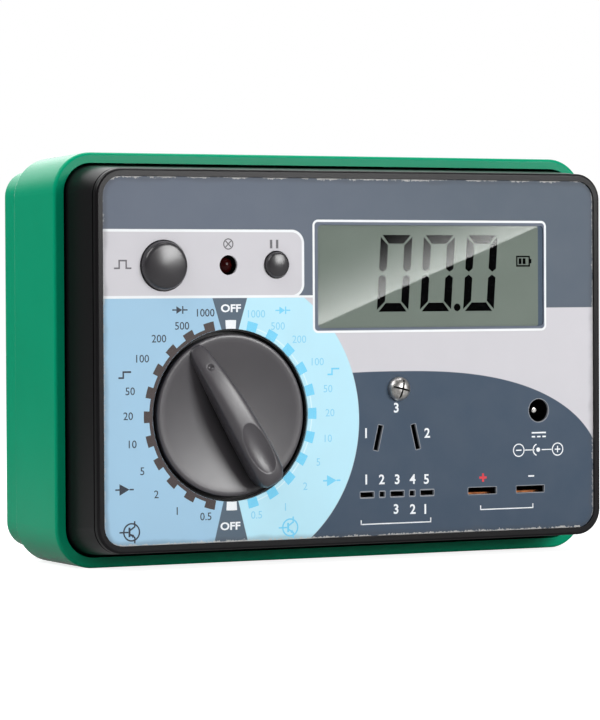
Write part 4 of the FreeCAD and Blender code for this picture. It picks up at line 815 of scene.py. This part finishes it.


# Terminal screw: a chromed pan head with a crossed slot, painted near-black and dull inside as painted shade.
# It goes through the front plate and is drawn up by a nut behind it, with a soldered strip under the nut.
screw_low, screw_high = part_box("collector_screw")
screw_x = (screw_low[0] + screw_high[0]) / 2 / mm
screw_height = (screw_low[2] + screw_high[2]) / 2 / mm
screw_end = -(screw_high[1] - panel_front) / mm
screw_turn = 14.0
slot_half = 0.27
slot_reach = 2.65
chrome = Finish("terminal_chrome")
here = chrome.place()
chrome_x, _, chrome_height = chrome.axes(here)
arm, other_arm = leaning(chrome_x, chrome_height, screw_x, screw_height, screw_turn)
from_axis = (arm * arm + other_arm * other_arm).root()
from_slot = abs(arm).at_most(abs(other_arm))
# Painted shade: the crossed slot is painted near-black, unmetallic and rough, to stand for the shade inside
# it.
slot_painted_shade = (1.0 - from_slot.past(slot_half, 0.04)) * (1.0 - from_axis.past(slot_reach, 0.1))
dull = chrome.noise(here, 0.9, 3.0)
pitting = chrome.noise(here, 5.0, 3.0, 0.6)
bare_chrome = chrome.blend(dull.past(0.52, 0.2), shade(222, 220, 217), shade(168, 165, 161))
chrome.paint(
    Base_Color=chrome.blend(slot_painted_shade, bare_chrome, shade(9, 8, 8)),
    Metallic=1.0 - slot_painted_shade,
    Roughness=0.31 + 0.14 * dull + 0.4 * slot_painted_shade,
    Normal=chrome.bump(pitting, 0.1, 0.02 * mm),
)
dress("collector_screw", chrome.material)
dress("collector_nut", chrome.material)
pan_head = [(0, 2.6), (0.9, 2.55), (1.7, 2.36), (2.4, 1.98), (2.9, 1.45), (3.2, 0.8), (3.3, 0.25), (3.3, 0.0)]
screw_shank = [(1.5, 0.0), (1.5, screw_end), (0, screw_end)]
screw_head = spun("terminal_screw", pan_head + screw_shank, 64)
slot_size = (7.2 * mm, 0.5 * mm, 1.6 * mm)
slot_out = 2.65 * mm
for turn in (screw_turn, screw_turn + 90.0):
    clear_selection()
    bpy.ops.mesh.primitive_cube_add(size=1.0)
    slot_tool = edit_new("slot_tool")
    bpy.ops.transform.resize(value=slot_size)
    bpy.ops.transform.rotate(value=math.radians(turn), orient_axis="Z", center_override=(0, 0, 0))
    bpy.ops.transform.translate(value=(0, 0, slot_out))
    bpy.ops.object.mode_set(mode="OBJECT")
    cut_away(screw_head, slot_tool)
smooth_up_to(screw_head, 38)
hang(screw_head, screw_x, screw_height - panel_middle)
finish_piece(screw_head, chrome.material, "case")
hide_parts("collector_screw")


# Dial marks and numbers: thin films of screen ink on the panel round the knob, dark on the left half and
# light blue on the right, with white marks and words at the two resting places.
print_half = print_thick / 2
text_extrude = 0.004


def print_words(words, across, above, tall, weight=0.0, wider=1.0):
    """Printed figures of a given height on the panel."""
    clear_selection()
    bpy.ops.object.text_add()
    text = bpy.context.object
    text.data.body = words
    text.data.align_x = "CENTER"
    text.data.align_y = "CENTER"
    text.data.size = 1.0
    text.data.offset = weight
    text.data.extrude = text_extrude
    text.data.resolution_u = 3
    bpy.ops.object.convert(target="MESH")
    text = bpy.context.object
    scale = tall * mm / text.dimensions.y
    text.scale = (wider * scale, scale, print_half * mm / text_extrude)
    bpy.ops.object.transform_apply(location=False, rotation=False, scale=True)
    return hang(text, across, above, print_half)


def ink_finish(name, colour, worn):
    """Screen ink with small thin spots."""
    finish = Finish(name, Specular_IOR_Level=0.3)
    here = finish.place()
    spots = finish.noise(here, 3.0, 3.0, 0.6)
    thin = spots.past(0.6, 0.2) * 0.35
    return finish.paint(Base_Color=finish.blend(thin, colour, worn), Roughness=0.42 + 0.1 * spots)


ink_brown = ink_finish("ink_brown", shade(66, 56, 55), shade(92, 84, 86))
ink_dark = ink_finish("ink_dark", shade(44, 50, 62), shade(82, 92, 108))
ink_sky = ink_finish("ink_sky", shade(112, 205, 240), shade(150, 220, 246))
ink_faint = ink_finish("ink_faint", shade(138, 208, 236), shade(160, 222, 244))
ink_white = ink_finish("ink_white", shade(238, 241, 244), shade(214, 220, 226))

mark_inner = 22.97
mark_outer = 25.5
mark_pitch = 15.0
mark_sweep = 7.0
rest_outer = 25.3
rest_sweep = 7.2
half_start = 13.0
half_sweep = 154.0
ring_thick = 0.01
left_start = -half_start - half_sweep
left_marks = [draw_arc("left_arc", mark_inner, 23.95, left_start, half_sweep, 80, ring_thick)]
right_marks = []
for number in range(1, 12):
    for marks, name, side in ((left_marks, "left_mark", -1), (right_marks, "right_mark", 1)):
        start = side * mark_pitch * number - mark_sweep / 2
        marks.append(draw_arc(name, mark_inner, mark_outer, start, mark_sweep, 3))
for marks, name, ink in ((left_marks, "left_marks", ink_brown), (right_marks, "right_marks", ink_sky)):
    marks = gather(marks, name)
    hang(marks, *knob_middle)
    finish_piece(marks, ink, "case")
rest_marks = [draw_arc("rest_mark", mark_inner, rest_outer, middle - rest_sweep / 2, rest_sweep, 3)
              for middle in (0.0, 180.0)]
rest_marks = gather(rest_marks, "rest_marks")
hang(rest_marks, *knob_middle)
finish_piece(rest_marks, ink_white, "case")
ink_pale = ink_finish("ink_pale", shade(214, 241, 250), shade(200, 236, 248))
pale_ring = draw_arc("pale_ring", 23.9, 24.2, half_start, half_sweep, 80, ring_thick)
hang(pale_ring, *knob_middle)
finish_piece(pale_ring, ink_pale, "case")

dial_numbers = ("1000", "500", "200", "100", "50", "20", "10", "5", "2", "1", "0.5")
left_places = [(-45.6, 12.4), (-52.3, 9.0), (-59.0, 5.7), (-64.0, 0.5), (-67.4, -8.0), (-68.0, -14.5),
               (-67.0, -21.9), (-64.0, -29.0), (-60.0, -35.2), (-54.0, -39.8), (-45.6, -41.5)]
right_places = [(-30.6, 12.0), (-24.0, 8.7), (-17.6, 5.1), (-12.3, -1.0), (-9.0, -8.3), (-8.4, -14.8),
                (-9.2, -21.7), (-12.0, -28.0), (-16.0, -34.4), (-22.0, -39.8), (-30.6, -41.6)]
for places, name, ink in ((left_places, "left_numbers", ink_dark),
                          (right_places, "right_numbers", ink_faint)):
    numbers = [print_words(words, *place, 2.05, 0.004) for words, place in zip(dial_numbers, places)]
    finish_piece(gather(numbers, name), ink, "case")
off_places = ((-37.96, 13.55), (-38.46, -44.3))
off_words = [print_words("OFF", *place, 2.15, 0.03, 1.2) for place in off_places]
finish_piece(gather(off_words, "off_words"), ink_white, "case")


# Socket numbers and signs: white screen ink on the panel beside the sockets, with brackets under them,
# polarity and direct-current signs at the power jack, and a red plus at the capacitor slots.
socket_numbers = (
    ("3", 12.0, -13.9), ("1", 2.6, -20.6), ("2", 21.6, -21.0),
    ("1", 2.6, -33.2), ("2", 7.4, -33.3), ("3", 12.2, -33.4), ("4", 17.0, -33.5), ("5", 21.3, -33.6),
    ("3", 11.8, -41.5), ("2", 17.0, -41.7), ("1", 20.9, -41.8),
)
socket_signs = [print_words(words, across, above, 2.7, 0.022) for words, across, above in socket_numbers]


def bar(name, across, above, wide, tall):
    """A printed straight bar."""
    far, top = wide / 2, tall / 2
    return hang(draw_patch(name, [(-far, -top), (far, -top), (far, top), (-far, top)]), across, above)


def cross(name, across, above, long, thick, turn=0.0):
    """A printed cross of two bars in one outline."""
    far, near = long / 2, thick / 2
    outline = [(-far, -near), (-near, -near), (-near, -far), (near, -far), (near, -near), (far, -near),
               (far, near), (near, near), (near, far), (-near, far), (-near, near), (-far, near)]
    return hang(draw_patch(name, outline), across, above, turn=turn)


polarity_x = 57.0
polarity_up = -26.35
polarity_apart = 6.3
for side in (-1, 1):
    ring = draw_arc("sign_ring", 1.55, 1.85, 0.0, 360.0, 40)
    socket_signs.append(hang(ring, polarity_x + polarity_apart * side, polarity_up))
    socket_signs.append(bar("sign_wire", polarity_x + 2.75 * side, polarity_up, 3.2, 0.26))
socket_signs.append(bar("sign_minus", polarity_x - polarity_apart, polarity_up, 1.7, 0.34))
socket_signs.append(cross("sign_plus", polarity_x + polarity_apart, polarity_up, 1.8, 0.34))
socket_signs.append(hang(draw_arc("sign_arc", 1.45, 1.8, -160.0, 140.0, 20), polarity_x, polarity_up))
socket_signs.append(hang(draw_arc("sign_dot", 0.0, 0.62, 0.0, 360.0, 20), polarity_x, polarity_up))
stroke = 0.42
socket_signs.append(bar("minus", 54.7, -33.6, 1.9, stroke))
socket_signs.append(bar("direct_line", jack_middle[0], -21.6, 4.6, stroke))
for dash in (-1, 0, 1):
    socket_signs.append(bar("direct_dash", jack_middle[0] + 1.75 * dash, -22.7, 1.1, stroke))
bracket_line = 0.3
for left, right, above in ((1.0, 22.6, -45.2), (38.4, 55.2, -42.4)):
    socket_signs.append(bar("bracket_line", (left + right) / 2, above, right - left, bracket_line))
    for end in (left, right):
        socket_signs.append(bar("bracket_end", end, above + 0.5, bracket_line, 1.3))
finish_piece(gather(socket_signs, "socket_signs"), ink_white, "case")
ink_red = ink_finish("ink_red", shade(214, 52, 62), shade(190, 70, 80))
plus = cross("plus_sign", 39.2, -33.6, 2.3, 0.62)
finish_piece(plus, ink_red, "case")


# Button and dial signs: a pulse, a lamp and two bars at the buttons and lamp, and a diode, a step, an
# amplifier and a transistor in each half of the dial, screen printed with the rest.
ink_grey = ink_finish("ink_grey", shade(98, 96, 100), shade(140, 138, 142))
pulse = [(-2.5, -0.79), (-1.21, -0.79), (-1.21, 1.21), (1.21, 1.21), (1.21, -0.79), (2.5, -0.79),
         (2.5, -1.21), (0.79, -1.21), (0.79, 0.79), (-0.79, 0.79), (-0.79, -1.21), (-2.5, -1.21)]
lamp_at = (-38.6, 30.7)
button_signs = [
    hang(draw_patch("pulse_sign", pulse), -69.3, 25.3),
    hang(draw_arc("lamp_ring", 1.2, 1.5, 0.0, 360.0, 40), *lamp_at),
    cross("lamp_cross", *lamp_at, 2.3, 0.3, 45.0),
    bar("hold_bar", -25.9, 30.7, 0.7, 2.3),
    bar("hold_bar", -24.1, 30.7, 0.7, 2.3),
]
finish_piece(gather(button_signs, "button_signs"), ink_grey, "case")

diode = [(-0.9, -1.0), (0.75, 0.0), (-0.9, 1.0)]
amplifier = [(-1.4, -1.5), (1.5, 0.0), (-1.4, 1.5)]
stair = [(-1.8, -1.0), (-0.2, -1.0), (-0.2, 0.55), (1.8, 0.55),
         (1.8, 1.0), (-0.65, 1.0), (-0.65, -0.55), (-1.8, -0.55)]
arrow_in = [(-0.3, -0.42), (0.75, -0.72), (0.25, -1.5)]
arrow_out = [(0.55, -0.62), (1.25, -1.55), (0.1, -1.45)]
for name, ink, diode_at, stair_at, amplifier_at, transistor_at, arrow in (
        ("left_signs", ink_dark, (-53.0, 13.3), (-68.9, -3.6), (-69.2, -33.6), (-67.2, -44.8), arrow_in),
        ("right_signs", ink_sky, (-22.6, 13.0), (-7.3, -3.6), (-8.0, -33.0), (-20.6, -45.2), arrow_out)):
    across, above = diode_at
    signs = [
        hang(draw_patch("diode", diode), across, above),
        bar("diode_bar", across + 0.95, above, 0.36, 2.0),
        bar("diode_lead", across - 1.5, above, 1.2, 0.34),
        bar("diode_lead", across + 1.75, above, 1.2, 0.34),
        hang(draw_patch("step", stair), *stair_at),
    ]
    across, above = amplifier_at
    signs += [
        hang(draw_patch("amplifier", amplifier), across, above),
        bar("amplifier_lead", across - 2.0, above, 1.2, 0.4),
        bar("amplifier_lead", across + 2.1, above, 1.2, 0.4),
    ]
    across, above = transistor_at
    signs += [
        hang(draw_arc("transistor_ring", 2.05, 2.45, 0.0, 360.0, 48, 0.02), across, above),
        bar("transistor_base", across - 0.62, above, 0.55, 2.5),
        bar("transistor_lead", across - 2.2, above, 2.55, 0.4),
    ]
    for side in (-1, 1):
        leg = [(-0.35, 0.35 * side), (1.1, 1.3 * side), (1.1, 2.9 * side),
               (0.7, 2.9 * side), (0.7, 1.52 * side), (-0.35, 0.84 * side)]
        signs.append(hang(draw_patch("transistor_leg", leg, 0.012), across, above))
    signs.append(hang(draw_patch("transistor_arrow", arrow, 0.014), across, above))
    finish_piece(gather(signs, name), ink, "case")


# Studio: a plain product set with a matt card floor that keeps the shadow, a white backdrop, three soft lamps
# and a reflector card that gives the window its slanting shine. The camera stands at the photograph's place.
def ray_kinds(finish):
    """Masks for rays seen by the camera, mirrored rays and rays that pass through something clear."""
    return [finish.node("ShaderNodeLightPath", {}, output=kind) for kind in (0, 3, 6)]


unlit = shade(0, 0, 0)
lit = shade(255, 255, 255)
pale = Finish("pale_floor", Roughness=0.9, Specular_IOR_Level=0.1, Emission_Strength=0.85)
here = pale.place(1.0)
floor_cloud = pale.noise(here, 3.0, 2.0)
floor_x, floor_y, _ = pale.axes(here)
seen, mirrored, through = ray_kinds(pale)
floor_colour = pale.blend(floor_cloud, shade(176, 176, 176), shade(182, 182, 182))
nearby = 1.0 - (floor_x * floor_x + floor_y * floor_y).root().past(0.4, 0.2)
glow = seen.at_least(through).at_least(mirrored * (0.04 + 0.24 * nearby))
pale.paint(
    Base_Color=pale.blend(mirrored, floor_colour, shade(110, 110, 110)),
    Emission_Color=pale.blend(glow, unlit, lit),
)
clear_selection()
bpy.ops.mesh.primitive_plane_add(size=6.0, location=(0, 0, 0))
floor = bpy.context.object
floor.name = "floor"
floor.data.materials.append(pale.material)


class Studio(Finish):
    """The world's own nodes, wired as a finish is."""

    def __init__(self, world):
        self.tree = world.node_tree

    def towards(self, direction):
        """How nearly a ray runs along a direction; 1 where it does."""
        ray = self.node("ShaderNodeTexCoord", {})
        return self.node("ShaderNodeVectorMath", {"operation": "DOT_PRODUCT"}, ray, direction, output=1)


world = bpy.data.worlds.new("studio")
bpy.context.scene.world = world
world.use_nodes = True
studio = Studio(world)
sky = world.node_tree.nodes["Background"]
sky.inputs["Color"].default_value = (1, 1, 1, 1)
seen, mirrored, through = ray_kinds(studio)
behind = studio.towards((0.456, 0.89, 0.0)).past(0.91, 0.06)
overhead = studio.towards((0.08, 0.89, 0.45)).past(0.93, 0.06)
across_room = studio.towards((0.491, -0.871, 0.007)).past(0.985, 0.008)
room_level = 0.34
mirrored_level = 0.10
mirrored_change = mirrored_level - room_level + 0.90 * behind + 1.7 * overhead - 0.085 * across_room
level = room_level + mirrored * mirrored_change
studio.feed(sky.inputs["Strength"], level.at_least(seen).at_least(through))


def studio_lamp(name, place, aim, size, power):
    """A soft square lamp aimed at a point."""
    lamp_data = bpy.data.lights.new(name, "AREA")
    lamp_data.shape = "RECTANGLE"
    lamp_data.size, lamp_data.size_y = size
    lamp_data.energy = power
    lamp = bpy.data.objects.new(name, lamp_data)
    bpy.context.collection.objects.link(lamp)
    lamp.location = place
    lamp.rotation_euler = (Vector(aim) - Vector(place)).to_track_quat("-Z", "Y").to_euler()


studio_lamp("key_lamp", place=(0.442, -0.872, 0.325), aim=(-0.02, 0, 0.05), size=(0.42, 0.38), power=6.7)
studio_lamp("side_lamp", place=(-0.62, 0.0, 0.75), aim=(-0.08, 0, 0.05), size=(0.6, 0.6), power=7.0)
studio_lamp("top_lamp", place=(0.1, 0.15, 0.9), aim=(0, 0, 0.05), size=(0.7, 0.4), power=4.5)

card_edge = (0.2847, 0.0576)
card_slope = (-0.363, 0.93)
card_fade = 0.029
card = Finish("card_glow", Base_Color=unlit, Specular_IOR_Level=0.0, Emission_Strength=7.5)
card_x, _, card_height = card.axes(card.place(1.0))
from_edge = card_slope[1] * (card_height - card_edge[1]) + card_slope[0] * (card_x - card_edge[0])
fade = (1.0 - from_edge / card_fade).at_least(0.0)
card.paint(Emission_Color=card.blend(fade * fade, unlit, lit))
card_corners = [(256.7, 46.7), (428.9, 113.9), (399.9, 188.5), (227.7, 121.3)]
reflector = draw_line("reflector_card", [(across, -600.0, high) for across, high in card_corners])
bpy.ops.mesh.edge_face_add()
bpy.ops.object.mode_set(mode="OBJECT")
reflector.data.materials.append(card.material)
reflector.visible_camera = False
reflector.visible_diffuse = False
reflector.visible_shadow = False
reflector.visible_transmission = False

camera_data = bpy.data.cameras.new("photo_camera")
camera_data.lens = 169.57
camera_data.sensor_width = 36.0
camera_data.clip_start = 0.01
camera = bpy.data.objects.new("photo_camera", camera_data)
bpy.context.collection.objects.link(camera)
camera.location = (-0.4328, -0.8399, 0.0733)
camera.rotation_euler = (1.55050, 0.004999, -0.47447)
bpy.context.scene.camera = camera

bpy.context.scene.view_settings.view_transform = "Standard"
